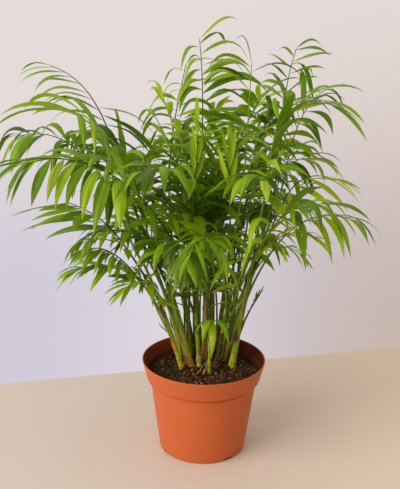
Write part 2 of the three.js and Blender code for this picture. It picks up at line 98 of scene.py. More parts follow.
class Gathering:
    # gathers grids of points, and makes them one mesh

    def __init__(self):
        self.points, self.uvs = [], []
        self.faces = {3: [], 4: []}
        self.slots = {3: [], 4: []}
        self.count = 0

    def grid(self, points, uvs, slot=0, closed=False, startTip=None, endTip=None, rowSlots=None):
        rows, columns = points.shape[:2]
        first = self.count
        index = first + np.arange(rows * columns).reshape(rows, columns)
        self.points.append(points.reshape(-1, 3))
        self.uvs.append(uvs.reshape(-1, 2))
        self.count += rows * columns
        here = index if closed else index[:, :-1]
        there = np.roll(index, -1, axis=1) if closed else index[:, 1:]
        quads = np.stack([here[:-1], there[:-1], there[1:], here[1:]], axis=-1).reshape(-1, 4)
        slots = np.full(rows - 1, slot) if rowSlots is None else np.asarray(rowSlots)
        self.faces[4].append(quads)
        self.slots[4].append(np.repeat(slots, here.shape[1]))
        if endTip is not None:
            self.fan(here[-1], there[-1], endTip, uvs[-1, columns // 2], slots[-1])
        if startTip is not None:
            self.fan(there[0], here[0], startTip, uvs[0, columns // 2], slots[0])

    def fan(self, here, there, tip, uv, slot):
        self.points.append(np.asarray(tip, float).reshape(1, 3))
        self.uvs.append(np.asarray(uv, float).reshape(1, 2))
        tips = np.full(len(here), self.count)
        self.count += 1
        self.faces[3].append(np.stack([here, there, tips], axis=-1))
        self.slots[3].append(np.full(len(here), slot))

    def solid(self, points, triangles, slot=0):
        self.points.append(points)
        self.uvs.append(points[:, :2])
        self.faces[3].append(triangles + self.count)
        self.slots[3].append(np.full(len(triangles), slot))
        self.count += len(points)

    def build(self, name, materials, flat=False):
        points = np.concatenate(self.points) * mm
        uvs = np.concatenate(self.uvs)
        corners, starts, slots = [], [], []
        start = 0
        for size in (3, 4):
            if self.faces[size]:
                faces = np.concatenate(self.faces[size])
                corners.append(faces.reshape(-1))
                starts.append(start + np.arange(len(faces)) * size)
                slots.append(np.concatenate(self.slots[size]))
                start += faces.size
        corners, starts, slots = map(np.concatenate, (corners, starts, slots))
        mesh = bpy.data.meshes.new(name)
        mesh.vertices.add(len(points))
        mesh.vertices.foreach_set("co", points.astype(np.float32).ravel())
        mesh.loops.add(len(corners))
        mesh.loops.foreach_set("vertex_index", corners.astype(np.int32))
        mesh.polygons.add(len(starts))
        mesh.polygons.foreach_set("loop_start", starts.astype(np.int32))
        mesh.polygons.foreach_set("material_index", slots.astype(np.int32))
        mesh.polygons.foreach_set("use_smooth", np.full(len(starts), not flat))
        layer = mesh.uv_layers.new(name="lay")
        layer.data.foreach_set("uv", uvs[corners].astype(np.float32).ravel())
        mesh.update(calc_edges=True)
        mesh.validate()
        for material in materials:
            mesh.materials.append(material)
        return putInScene(name, mesh)


def putInScene(name, data):
    thing = bpy.data.objects.new(name, data)
    bpy.context.scene.collection.objects.link(thing)
    return thing


def finishPiece(piece, slot, *nodes):
    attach(piece, "root")
    if nodes:
        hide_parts(*nodes)
    return piece


def ringFrames(centres):
    # a left and an up at each of a row of centres, which don't spin along it
    headings = unit(np.gradient(centres, axis=0))
    lean = np.array([1.0, 0.0, 0.0]) if abs(headings[0][0]) < 0.8 else np.array([0.0, 1.0, 0.0])
    lefts = []
    for heading in headings:
        lean = unit(lean - heading * np.dot(lean, heading))
        lefts.append(lean)
    lefts = np.array(lefts)
    return lefts, np.cross(headings, lefts)


def addTube(gathering, centres, radii, sides, slot=0, rowSlots=None):
    lefts, ups = ringFrames(centres)
    angles = anglesRound(sides)
    turns = angles[None, :, None]
    radii = np.asarray(radii, float)
    if radii.ndim == 1:
        radii = np.repeat(radii[:, None], sides, axis=1)
    around = np.cos(turns) * lefts[:, None] + np.sin(turns) * ups[:, None]
    grid = centres[:, None] + around * radii[..., None]
    steps = np.linalg.norm(np.diff(centres, axis=0), axis=1)
    run = np.concatenate([[0], np.cumsum(steps)])
    uvs = np.stack(np.broadcast_arrays(angles[None, :] / fullTurn, run[:, None]), axis=-1)
    gathering.grid(grid, uvs, slot, closed=True, startTip=centres[0], endTip=centres[-1],
                   rowSlots=rowSlots)


# shader parts that the materials share

def addNode(tree, kind, inputs=None, **settings):
    node = tree.nodes.new(kind)
    for name, value in settings.items():
        setattr(node, name, value)
    for name, value in (inputs or {}).items():
        if isinstance(value, bpy.types.NodeSocket):
            tree.links.new(value, node.inputs[name])
        else:
            node.inputs[name].default_value = value
    return node


def maths(tree, operation, first, second=0.0):
    node = addNode(tree, "ShaderNodeMath", operation=operation)
    for socket, value in zip(node.inputs, (first, second)):
        if isinstance(value, bpy.types.NodeSocket):
            tree.links.new(value, socket)
        else:
            socket.default_value = value
    return node.outputs[0]


def blendColour(tree, share, first, second, how="MIX"):
    node = addNode(tree, "ShaderNodeMix", data_type="RGBA", blend_type=how)
    for name, value in (("Factor_Float", share), ("A_Color", first), ("B_Color", second)):
        socket = next(entry for entry in node.inputs if entry.identifier == name)
        if isinstance(value, bpy.types.NodeSocket):
            tree.links.new(value, socket)
        else:
            socket.default_value = (*value, 1) if isinstance(value, tuple) and len(value) == 3 else value
    return next(entry for entry in node.outputs if entry.identifier == "Result_Color")


def ranged(tree, value, low, high, newLow, newHigh):
    node = addNode(tree, "ShaderNodeMapRange", {
        "Value": value, "From Min": low, "From Max": high, "To Min": newLow, "To Max": newHigh})
    node.interpolation_type = "SMOOTHSTEP"
    return node.outputs["Result"]


def send(tree, sockets, values):
    for label, value in values.items():
        tree.links.new(value, sockets[label])


def axesOf(tree, kind="Object"):
    # the three parts of the place on a piece, or of the lay of its surface
    place = addNode(tree, "ShaderNodeTexCoord")
    return addNode(tree, "ShaderNodeSeparateXYZ", {"Vector": place.outputs[kind]}).outputs


def cloudOf(tree, scale, detail, where=None, roughness=0.5):
    # a cloudy value over the piece, or over another place
    if where is None:
        where = addNode(tree, "ShaderNodeTexCoord").outputs["Object"]
    cloud = addNode(tree, "ShaderNodeTexNoise", {
        "Vector": where, "Scale": scale, "Detail": detail, "Roughness": roughness})
    return cloud.outputs["Fac"]


def gainColour(tree, colour, gain):
    node = addNode(tree, "ShaderNodeVectorMath", {0: colour, "Scale": gain}, operation="SCALE")
    return node.outputs[0]


def newGroup(name, inputs, outputs):
    group = bpy.data.node_groups.new(name, "ShaderNodeTree")
    for label, kind, value in inputs:
        socket = group.interface.new_socket(label, in_out="INPUT", socket_type="NodeSocket" + kind)
        socket.default_value = value
    for label, kind in outputs:
        group.interface.new_socket(label, in_out="OUTPUT", socket_type="NodeSocket" + kind)
    start = group.nodes.new("NodeGroupInput")
    end = group.nodes.new("NodeGroupOutput")
    return group, start.outputs, end.inputs


def makeMottleGroup():
    # a colour that drifts in brightness over the surface, in soft patches
    group, given, out = newGroup(
        "mottle",
        [("Colour", "Color", (0.5, 0.5, 0.5, 1)), ("Scale", "Float", 40.0),
         ("Amount", "Float", 0.3)],
        [("Colour", "Color"), ("Value", "Float")])
    cloud = cloudOf(group, given["Scale"], 3.0)
    twice = maths(group, "MULTIPLY", given["Amount"], 2.0)
    swing = maths(group, "MULTIPLY", maths(group, "SUBTRACT", cloud, 0.5), twice)
    coloured = gainColour(group, given["Colour"], maths(group, "ADD", swing, 1.0))
    send(group, out, {"Colour": coloured, "Value": cloud})
    return group


def makeStreakGroup():
    # fine streaks that run up a stem
    group, given, out = newGroup(
        "streaks", [("Scale", "Float", 600.0), ("Stretch", "Float", 0.05)], [("Value", "Float")])
    x, y, z = axesOf(group)
    low = maths(group, "MULTIPLY", z, given["Stretch"])
    joined = addNode(group, "ShaderNodeCombineXYZ", {"X": x, "Y": y, "Z": low})
    send(group, out, {"Value": cloudOf(group, given["Scale"], 4.0, joined.outputs[0])})
    return group


def makeVeinGroup():
    # veins that run along a leaflet, from its lay: millimetres across, and share along
    group, given, out = newGroup(
        "veins", [("Spacing", "Float", 1.1), ("Midrib", "Float", 0.5)],
        [("Height", "Float"), ("Midrib", "Float"), ("Along", "Float"), ("Streak", "Float")])
    lay = axesOf(group, "UV")
    across, along = lay["X"], lay["Y"]
    turns = maths(group, "DIVIDE", maths(group, "MULTIPLY", across, fullTurn), given["Spacing"])
    waves = maths(group, "ADD", maths(group, "MULTIPLY", maths(group, "COSINE", turns), 0.5), 0.5)
    line = ranged(group, maths(group, "ABSOLUTE", across), 0.0, given["Midrib"], 1.0, 0.0)
    height = maths(group, "ADD", maths(group, "MULTIPLY", waves, 0.35), line)
    # long streaks, which differ from leaflet to leaflet
    drawn = addNode(group, "ShaderNodeCombineXYZ", {
        "X": maths(group, "MULTIPLY", across, 0.9), "Y": maths(group, "MULTIPLY", along, 1.6),
        "Z": maths(group, "MULTIPLY", axesOf(group)["X"], 18.0)})
    streak = cloudOf(group, 1.0, 3.0, drawn.outputs[0])
    send(group, out, {"Height": height, "Midrib": line, "Along": along, "Streak": streak})
    return group


def newMaterial(name, **shader):
    material = bpy.data.materials.new(name)
    material.use_nodes = True
    tree = material.node_tree
    body = tree.nodes["Principled BSDF"]
    for label, value in shader.items():
        body.inputs[label.replace("_", " ")].default_value = value
    return material, tree, body


def placeGroup(tree, group, **values):
    return addNode(tree, "ShaderNodeGroup", values, node_tree=group).outputs


def addBump(tree, body, height, strength, distance):
    bump = addNode(tree, "ShaderNodeBump", {
        "Height": height, "Strength": strength, "Distance": distance})
    send(tree, body.inputs, {"Normal": bump.outputs["Normal"]})


def colourOf(red, green, blue):
    # a colour as a screen shows it, turned linear
    return tuple(((part / 255 + 0.055) / 1.055) ** 2.4 if part > 10 else part / 255 / 12.92
                 for part in (red, green, blue))


mottleGroup = makeMottleGroup()
streakGroup = makeStreakGroup()
veinGroup = makeVeinGroup()
print("shader groups made")


# the camera

camera = {"place": (-8.2, -1100.0, 635.0), "pitch": 17.2, "roll": 1.1, "focal": 868.0,
          "frameHeight": 489.0, "sensor": 36.0, "clip": (0.05, 30)}


def makeCamera():
    data = bpy.data.cameras.new("camera")
    data.lens = camera["focal"] / camera["frameHeight"] * camera["sensor"]
    data.sensor_width = camera["sensor"]
    data.clip_start, data.clip_end = camera["clip"]
    eye = putInScene("camera", data)
    turn = Euler((math.radians(90 - camera["pitch"]), 0, 0)).to_matrix()
    eye.rotation_euler = (turn @ Matrix.Rotation(math.radians(camera["roll"]), 3, "Z")).to_euler()
    eye.location = Vector(camera["place"]) * mm
    bpy.context.scene.camera = eye


makeCamera()


# the pot

pot = {
    "height": 131, "rimRadius": 85, "bandHeight": 27, "bandFootRadius": 78, "bodyTopRadius": 73.5,
    "footRadius": 59.6, "wall": 1.7, "floor": 2.4, "shelfDrop": 1.2, "neckInset": 1.3,
    "neckHeight": 2.7, "segments": 160, "ringStep": 3,
    "innerStep": 1.1, "innerStepRise": 5,
    "slots": 4, "slotWidth": 14, "slotDepth": 9, "slotHeight": 4, "slotAngle": -53,
    # the inside colours paint a glow on the left and shade on the right; the soiling colour paints shade
    # low inside the pot, and random soiling patches too
    "colour": (0.562, 0.126, 0.038), "insideGlowLeft": (0.34, 0.060, 0.015),
    "insideShadeRight": (0.12, 0.021, 0.006), "dust": (0.66, 0.30, 0.17), "soilingAndShade": (0.07, 0.024, 0.010),
    "roughness": 0.42, "roughnessSpread": (-0.08, 0.14), "shine": 0.12,
    "dustAmount": 0.18, "soiledAmount": 0.7, "sharpFrom": 40,
}
soil = {
    "top": 111, "edge": 78.0, "rings": 90, "segments": 220, "roll": 2.2, "crumb": 2.0,
    "sides": ((69.5, 101), (57.0, 0.6)),
    "clods": 5200, "clodSize": (0.4, 3.6), "fibres": 230, "fibreLength": (6, 24), "fibreRadius": 0.3,
    "flecks": 150, "fleckSize": (0.4, 1.3),
    "colour": (0.044, 0.018, 0.006),
    "clodColours": ((0.04, 0.017, 0.006), (0.14, 0.056, 0.02), (0.36, 0.16, 0.055)),
    "clodLimits": (0.74, 0.97),
    "fibreColour": (0.20, 0.085, 0.03), "fleckColour": (0.40, 0.30, 0.20),
}
bandFoot = pot["height"] - pot["bandHeight"]


def rounded(corners, steps=4):
    # an open profile of (radius, height, rounding) corners, with each corner rounded off
    points = []
    for index, (across, up, rounding) in enumerate(corners):
        corner = np.array([across, up], float)
        if rounding == 0 or index in (0, len(corners) - 1):
            points.append(corner)
            continue
        before = np.array(corners[index - 1][:2], float)
        after = np.array(corners[index + 1][:2], float)
        start = corner + unit(before - corner) * rounding
        end = corner + unit(after - corner) * rounding
        points.extend(curveAt([start, corner, end], np.linspace(0, 1, steps + 1)))
    return np.array(points)


def withRings(profile, step):
    # extra rings along the long straight walls keep their shading even
    points = [profile[0]]
    for first, last in zip(profile, profile[1:]):
        parts = max(1, round(np.linalg.norm(last - first) / step))
        points.extend(mix(first, last, part / parts) for part in range(1, parts + 1))
    return np.array(points)


def lathe(name, profile, segments, materials, insideFrom):
    angles = anglesRound(segments)
    heights = profile[:, 1]
    rows = profile[1:-1]
    grid = np.stack([rows[:, :1] * np.cos(angles), rows[:, :1] * np.sin(angles),
                     np.repeat(rows[:, 1:], segments, axis=1)], axis=-1)
    uvs = np.stack(np.broadcast_arrays(angles[None, :], rows[:, 1:]), axis=-1)
    gathering = Gathering()
    rowSlots = (np.arange(len(rows) - 1) >= insideFrom).astype(int)
    gathering.grid(grid, uvs, closed=True, startTip=(0, 0, heights[0]), endTip=(0, 0, heights[-1]),
                   rowSlots=rowSlots)
    return gathering.build(name, materials)


def potInside(tree):
    # painted light: daylight glowing through the wall on the left; painted shade on the right, and
    # darker low down towards the soil
    place = axesOf(tree)
    rightward = ranged(tree, place["X"], -pot["rimRadius"] * mm, pot["rimRadius"] * mm, 0.0, 1.0)
    lit = blendColour(tree, rightward, pot["insideGlowLeft"], pot["insideShadeRight"])
    paintedShade = ranged(tree, place["Z"], soil["top"] * mm, (pot["height"] - 3) * mm, 0.75, 0.0)
    return blendColour(tree, paintedShade, lit, pot["soilingAndShade"])


def makePotMaterial(name, inside):
    material, tree, body = newMaterial(name, Specular_IOR_Level=pot["shine"])
    colour = potInside(tree) if inside else (*pot["colour"], 1)
    dustColour = pot["soilingAndShade"] if inside else pot["dust"]
    dustAmount = pot["soiledAmount"] if inside else pot["dustAmount"]
    mottled = placeGroup(tree, mottleGroup, Colour=colour, Scale=22.0, Amount=0.10)
    cloud = cloudOf(tree, 90.0, 6.0, roughness=0.7)
    dust = ranged(tree, cloud, 0.60, 0.80, 0.0, dustAmount)
    smoother, rougher = (pot["roughness"] + spread for spread in pot["roughnessSpread"])
    send(tree, body.inputs, {
        "Base Color": blendColour(tree, dust, mottled["Colour"], dustColour),
        "Roughness": ranged(tree, cloud, 0.3, 0.75, smoother, rougher)})
    addBump(tree, body, cloudOf(tree, 900.0, 3.0), 0.25, 0.0002)
    return material


def potProfile():
    # (radius, height, rounding), from the middle of the underside to the middle of the floor inside
    top, rim, wall = pot["height"], pot["rimRadius"], pot["wall"]
    shelf = bandFoot - pot["shelfDrop"]
    neckFoot = shelf - pot["neckHeight"]
    neck = pot["bodyTopRadius"] - pot["neckInset"]
    inside = mix(pot["bandFootRadius"], rim, 0.5) - wall
    stepFoot = soil["top"] + pot["innerStepRise"]
    return [
        (0, 0, 0),
        (pot["footRadius"] - 6, 0, 0),
        (pot["footRadius"], 0, 2.4),
        (pot["bodyTopRadius"] - 0.5, neckFoot - 0.9, 0.4),
        (neck, neckFoot, 0.3),
        (neck, shelf, 0.3),
        (pot["bandFootRadius"], bandFoot, 0.6),
        (rim, top, 0.85),
        (rim - wall, top, 0.8),
        (inside, stepFoot + 1, 0.3),
        (inside - pot["innerStep"], stepFoot, 0.3),
        (pot["bandFootRadius"] - wall - 0.6, bandFoot + wall, 0.4),
        (neck - wall, shelf, 0.5),
        (pot["footRadius"] - wall, pot["floor"], 2.0),
        (0, pot["floor"], 0),
    ]


def slotCutters():
    # one block for each drain slot, through the corner of the floor
    cutters = Gathering()
    box = np.array([[x, y, z] for x in (-0.5, 0.5) for y in (-0.5, 0.5) for z in (-1, 1)])
    faces = np.array([[0, 1, 3], [0, 3, 2], [4, 6, 7], [4, 7, 5], [0, 4, 5], [0, 5, 1],
                      [2, 3, 7], [2, 7, 6], [0, 2, 6], [0, 6, 4], [1, 5, 7], [1, 7, 3]])
    corners = box * [pot["slotDepth"], pot["slotWidth"], pot["slotHeight"]]
    corners = corners + [pot["footRadius"] - pot["slotDepth"] / 4, 0, 0]
    for index in range(pot["slots"]):
        angle = math.radians(pot["slotAngle"] + index * 360 / pot["slots"])
        cutters.solid(np.array([turned(corner, upward, angle) for corner in corners]), faces)
    return cutters.build("cutter", [])


def makePot():
    profile = withRings(rounded(potProfile()), pot["ringStep"])
    insideFrom = int(np.argmax(profile[:, 1])) + 3
    stuff = [makePotMaterial("terracottaPlastic", False), makePotMaterial("terracottaInside", True)]
    piece = lathe("nurseryPot", profile, pot["segments"], stuff, insideFrom)
    cutter = slotCutters()
    cut = piece.modifiers.new("slots", "BOOLEAN")
    cut.object, cut.operation, cut.solver = cutter, "DIFFERENCE", "EXACT"
    graph = bpy.context.evaluated_depsgraph_get()
    mesh = bpy.data.meshes.new_from_object(piece.evaluated_get(graph))
    piece.modifiers.clear()
    piece.data = mesh
    bpy.data.objects.remove(cutter)
    for face in mesh.polygons:
        face.use_smooth = True
    mesh.set_sharp_from_angle(angle=math.radians(pot["sharpFrom"]))
    return finishPiece(piece, "pot", "pot")


makePot()
print("pot made")


# the soil, its crumbs and its clods

def soilHeight(x, y):
    # rolls and crumbs of the soil's surface, in millimetres
    roll = noise.noise(Vector((x / 22, y / 22, 0.4))) * soil["roll"]
    crumb = noise.fractal(Vector((x / 4.6, y / 4.6, 2.7)), 0.7, 2.1, 4) * soil["crumb"]
    edge = smooth(62, 78, math.hypot(x, y)) * -2.2
    return soil["top"] - 0.8 + roll + crumb + edge


def makeSoilMaterial(name, colour, amount, scale):
    material, tree, body = newMaterial(name, Roughness=0.7, Specular_IOR_Level=0.2)
    mottled = placeGroup(tree, mottleGroup, Colour=(*colour, 1), Scale=scale, Amount=amount)
    send(tree, body.inputs, {"Base Color": mottled["Colour"]})
    addBump(tree, body, mottled["Value"], 0.6, 0.0006)
    return material


def ring(radius, height):
    return [[radius * math.cos(angle), radius * math.sin(angle), height]
            for angle in anglesRound(soil["segments"])]


def soilGrid():
    grid = np.array([ring(radius, 0) for radius in np.linspace(0.8, soil["edge"], soil["rings"])])
    for row in grid:
        for point in row:
            point[2] = soilHeight(point[0], point[1])
    # the sides go down to the floor of the pot, where its drain slots show them
    return np.concatenate([grid, [ring(radius, height) for radius, height in soil["sides"]]])


def makeSoilBed():
    ground = Gathering()
    grid = soilGrid()
    ground.grid(grid, grid[..., :2], closed=True, startTip=(0, 0, soilHeight(0, 0)),
                endTip=(0, 0, soil["sides"][-1][1]))
    stuff = makeSoilMaterial("compost", soil["colour"], 0.7, 160.0)
    finishPiece(ground.build("soilBed", [stuff]), "soil", "soil")


def ballCorners():
    # twenty-sided balls, which each clod squashes its own way
    golden = (1 + math.sqrt(5)) / 2
    corners = np.array([[x, y, 0] for y in (-golden, golden) for x in (-1, 1)], float)
    corners = unit(np.concatenate([np.roll(corners, turn, axis=1) for turn in range(3)]))
    faces = []
    for a, b, c in combinations(range(len(corners)), 3):
        toB, toC = corners[b] - corners[a], corners[c] - corners[a]
        if max(np.linalg.norm(side) for side in (toB, toC, toC - toB)) < 1.1:
            outward = np.dot(np.cross(toB, toC), corners[a])
            faces.append([a, b, c] if outward > 0 else [a, c, b])
    return corners, np.array(faces)


def diskPlace(seed, reach):
    radius = reach * math.sqrt(chance(seed))
    angle = scatter(seed + 0.37) * math.pi
    return radius * math.cos(angle), radius * math.sin(angle)


def tumbled(shape, *angles):
    return shape @ np.array(Euler(angles).to_matrix()).T


def makeCrumbs(corners, faces):
    clods = Gathering()
    for index in range(soil["clods"]):
        seed = index * 1.731
        size = mix(*soil["clodSize"], chance(seed + 0.61) ** 5)
        x, y = diskPlace(seed, soil["edge"] - 1.0 - size * 1.6)
        stretch = np.array([1 + 0.35 * scatter(seed + 0.11), 1 + 0.35 * scatter(seed + 0.23), 0.72])
        rough = np.array([1 + 0.28 * scatter(seed * 3.1 + index * 0.77)
                          for index in range(len(corners))])
        shape = corners * rough[:, None] * stretch * size
        shape = tumbled(shape, scatter(seed + 0.5), scatter(seed + 0.6), seed)
        slot = sum(chance(seed + 0.83) >= limit for limit in soil["clodLimits"])
        clods.solid(shape + [x, y, soilHeight(x, y) + size * 0.3], faces, slot)
    stuff = [makeSoilMaterial(f"compostCrumb{index}", colour, 0.8, 220.0)
             for index, colour in enumerate(soil["clodColours"])]
    finishPiece(clods.build("soilCrumbs", stuff, flat=True), "soil")


def makeFibres():
    strands = Gathering()
    for index in range(soil["fibres"]):
        seed = 500 + index * 2.113
        x, y = diskPlace(seed, soil["edge"] - 8)
        length = mix(*soil["fibreLength"], chance(seed + 0.3))
        heading = scatter(seed + 0.9) * math.pi
        centres = []
        for step in range(9):
            centres.append([x, y, soilHeight(x, y) + 1.0 + 0.6 * scatter(seed + step)])
            heading += 0.5 * scatter(seed + step * 0.7 + 9)
            x += math.cos(heading) * length / 8
            y += math.sin(heading) * length / 8
            if math.hypot(x, y) > soil["edge"] - 3:
                break
        if len(centres) > 2:
            radius = soil["fibreRadius"] * (1 + 0.4 * scatter(seed + 5))
            addTube(strands, np.array(centres), radius * np.linspace(1, 0.5, len(centres)), 5)
    stuff = makeSoilMaterial("rootFibre", soil["fibreColour"], 0.5, 220.0)
    finishPiece(strands.build("soilFibres", [stuff]), "soil")


def makeFlecks(corners, faces):
    flecks = Gathering()
    for index in range(soil["flecks"]):
        seed = 900 + index * 1.377
        x, y = diskPlace(seed, soil["edge"] - 6)
        size = mix(*soil["fleckSize"], chance(seed + 0.4))
        shape = corners * size * [1, 0.6 + 0.3 * scatter(seed + 0.8), 0.3]
        shape = tumbled(shape, 0.5 * scatter(seed + 0.2), 0.5 * scatter(seed + 0.3), seed)
        flecks.solid(shape + [x, y, soilHeight(x, y) + 1.4], faces)
    stuff = makeSoilMaterial("barkFleck", soil["fleckColour"], 0.5, 300.0)
    finishPiece(flecks.build("soilFlecks", [stuff], flat=True), "soil")


makeSoilBed()
balls = ballCorners()
makeCrumbs(*balls)
makeFibres()
makeFlecks(*balls)
print("soil made")


# growth: canes first, then the ribs of the fronds, by the rule that the solids follow

clearance = 0.3
topClearance = 0.8
# each cane's name, foot on the soil, top, and radius at foot and top
canePlans = [
    ("stem_far_left", (-30, 4), (-80, -4, 262), (3.8, 1.9)),
    ("stem_left_thick", (-19, 15), (-52, 8, 236), (6.0, 2.8)),
    ("stem_left_back", (-13, 40), (-46, 70, 262), (4.6, 2.1)),
    ("stem_mid_left", (-6, 15), (-16, 6, 226), (3.5, 1.9)),
    ("stem_mid", (1, 30), (2, 40, 258), (4.6, 2.2)),
    ("stem_front_low", (8, -4), (7, -10, 176), (2.4, 1.6)),
    ("stem_mid_back", (6, 50), (10, 90, 266), (4.4, 2.1)),
    ("stem_mid_right", (19, 42), (30, 18, 262), (4.4, 2.1)),
    ("stem_right_thin", (31, 33), (46, 56, 234), (3.2, 1.7)),
    ("stem_right_thick", (40, 17), (64, 8, 270), (5.2, 2.5)),
    ("stem_back_left", (-30, 46), (-74, 84, 240), (4.0, 2.0)),
    ("stem_back", (-5, 60), (-18, 116, 250), (4.2, 2.0)),
    ("stem_back_right", (33, 50), (72, 98, 250), (4.2, 2.0)),
    ("stem_front_right", (19, 21), (34, -40, 240), (4.0, 2.0)),
]
caneRule = {"aside": 0.4, "upward": 0.5, "sides": 7}

# the fronds that give the crown its outline
outlineFronds = [
    {"name": "frond_top_left", "cane": 1, "tip": (-216, 90, 516), "slope": 12,
     "leaf": 92, "width": 0.12, "sag": 1.2, "pairs": 8},
    {"name": "frond_left_high", "cane": 0, "tip": (-172, -60, 478), "slope": 10,
     "roll": -15, "leaf": 108, "width": 0.14, "sag": 1.3, "pairs": 6},
    {"name": "frond_left_near", "cane": 3, "tip": (-234, -130, 424), "slope": -12,
     "leaf": 94, "width": 0.19, "sag": 2.4, "pairs": 8},
    {"name": "frond_left_dark", "cane": 10, "tip": (-256, 60, 424), "slope": -14,
     "roll": -15, "leaf": 88, "sag": 1.7, "pairs": 7},
    {"name": "frond_left_low", "cane": 0, "from": 0.8, "tip": (-166, -92, 372), "slope": 26,
     "roll": -50, "open": 0.76, "leaf": 104, "width": 0.13, "sag": 0.5, "pairs": 7},
    {"name": "frond_left_lowest", "cane": 0, "from": 0.58, "tip": (-166, -34, 288), "slope": -34,
     "leaf": 50, "sag": 1.5, "pairs": 7},
    {"name": "frond_left_small", "cane": 1, "from": 0.6, "tip": (-178, -16, 256), "slope": -26,
     "leaf": 40, "sag": 2.0, "pairs": 8},
    {"name": "frond_left_under", "cane": 0, "from": 0.4, "tip": (-112, -10, 246), "slope": -36,
     "leaf": 38, "sag": 1.8, "pairs": 5},
    {"name": "frond_top", "cane": 4, "tip": (-14, 62, 556), "slope": 78,
     "leaf": 92, "width": 0.12, "sag": 1.3, "pairs": 8},
    {"name": "frond_top_thin", "cane": 2, "tip": (-32, 92, 520), "slope": 70,
     "roll": 10, "leaf": 62, "width": 0.13, "sag": 1.4, "pairs": 8},
    {"name": "frond_top_right", "cane": 7, "tip": (50, -36, 536), "slope": 84,
     "roll": -15, "leaf": 84, "sag": 1.5, "pairs": 7},
    {"name": "frond_right_high", "cane": 9, "tip": (112, 50, 548), "slope": 66,
     "roll": 30, "leaf": 62, "sag": 1.4, "pairs": 7},
    {"name": "frond_right_dark", "cane": 12, "tip": (142, 50, 488), "slope": 50,
     "roll": 70, "leaf": 96, "width": 0.12, "sag": 1.6, "pairs": 8},
    {"name": "frond_right_broad", "cane": 13, "tip": (136, -60, 496), "slope": -4,
     "roll": 25, "rise": 0.72, "leaf": 88, "sag": 0.9, "pairs": 7},
    {"name": "frond_right_mid", "cane": 9, "from": 0.86, "tip": (150, -40, 398), "slope": -6,
     "roll": 25, "leaf": 92, "width": 0.13, "sag": 1.0, "pairs": 7},
    {"name": "frond_right_low", "cane": 9, "from": 0.7, "tip": (178, -60, 350), "slope": -8,
     "roll": 15, "leaf": 74, "width": 0.13, "sag": 1.9, "pairs": 8},
    {"name": "frond_right_tiny", "cane": 9, "from": 0.4, "tip": (76, 6, 226), "slope": 60,
     "leaf": 18, "sag": 0.8, "pairs": 4},
    {"name": "frond_front_right", "cane": 13, "from": 0.84, "tip": (126, -130, 374), "slope": -28,
     "leaf": 94, "width": 0.18, "sag": 2.6, "pairs": 7},
    {"name": "frond_front", "cane": 13, "from": 0.68, "tip": (-18, -170, 338), "slope": -36,
     "leaf": 62, "width": 0.18, "sag": 2.2, "pairs": 7},
    {"name": "frond_low_tuft", "cane": 5, "tip": (12, -34, 198), "slope": -10,
     "leaf": 50, "width": 0.2, "sag": 3.2, "pairs": 2},
    {"name": "frond_spear_left", "cane": 3, "from": 0.86, "tip": (-13, -60, 470), "slope": 88,
     "open": 0.16, "leaf": 54, "sag": 0.1, "pairs": 3},
    {"name": "frond_spear_right", "cane": 7, "from": 0.86, "tip": (24, -70, 440), "slope": 80,
     "open": 0.2, "leaf": 56, "sag": 0.1, "pairs": 3},
]

# the rings of fronds that fill the crown
crownCentre = (0, 18)
fillRings = [
    {"name": "frond_upright", "count": 6, "start": 25, "reach": 80, "height": 464, "slope": 58,
     "leaf": 74, "sag": 1.4, "pairs": 7},
    {"name": "frond_arching", "count": 8, "start": 62, "reach": 158, "height": 412, "slope": 0,
     "leaf": 80, "sag": 1.8, "pairs": 7},
    {"name": "frond_spreading", "count": 8, "start": 36, "reach": 160, "height": 308, "slope": -34,
     "leaf": 68, "sag": 1.7, "pairs": 7},
]
fillRule = {"reachWobble": 0.08, "heightWobble": 16, "perCane": 4, "rootStep": 0.13, "loadCost": 24,
            "leastTop": 200}
ribRule = {"radii": (1.7, 0.8), "petiole": 0.4, "startHandle": 0.5, "endHandle": 0.34,
           "outwardLean": 0.22, "room": 5.2, "caneRoom": 2.6, "samples": 60, "rootShare": 0.3,
           "swingStep": 3, "swingTries": 24}

ribShares = np.linspace(0, 1, ribRule["samples"] + 1)

# young single fronds that rise from the soil between the canes
shoots = {
    "count": 24, "centre": (4, 40), "spread": (36, 26), "turn": 137.5, "start": -45, "reach": (26, 112),
    "height": (420, 290), "slope": (60, -30), "leaf": (76, 74), "sag": (1.4, 1.8), "pairs": 9,
    "room": 2.7, "caneRoom": 1.2, "rise": 0.5, "sunk": 3.0, "reachWobble": 0.12, "heightWobble": 14,
}


def growCane(name, foot, top, radii):
    foot = np.array([*foot, soil["top"] + clearance], float)
    top = np.array(top, float)
    bend = mix(foot, top, caneRule["aside"])
    bend[2] = mix(foot[2], top[2], caneRule["upward"])
    line = [foot, bend, top]
    samples = curveAt(line, ribShares)
    return {"name": name, "radii": radii, "line": line, "samples": samples, "load": 0}


def caneWall(cane, share, direction):
    # how far the flat-sided wall of the solid cane stands from its line
    upright = Vector(headingAt(cane["line"], share)).rotation_difference(Vector(upward))
    side = fullTurn / caneRule["sides"]
    faced = upright @ Vector(direction)
    offMiddle = math.atan2(faced.y, faced.x) % side - side / 2
    return mix(*cane["radii"], share) * math.cos(side / 2) / math.cos(offMiddle)


def ribLine(plan, cane, swing):
    share = plan.get("from", 1)
    seat = curveAt(cane["line"], share)
    along = headingAt(cane["line"], share)
    reach = turned(np.array(plan["tip"]) - seat, upward, math.radians(swing))
    tip = seat + reach
    out = unit(np.array([reach[0], reach[1], 0]))
    if share < 1:
        aside = unit(out - along * np.dot(out, along))
        start = seat + aside * (caneWall(cane, share, aside) + clearance)
    else:
        start = seat + along * topClearance
    return ribHandles(plan, start, tip, along, out)


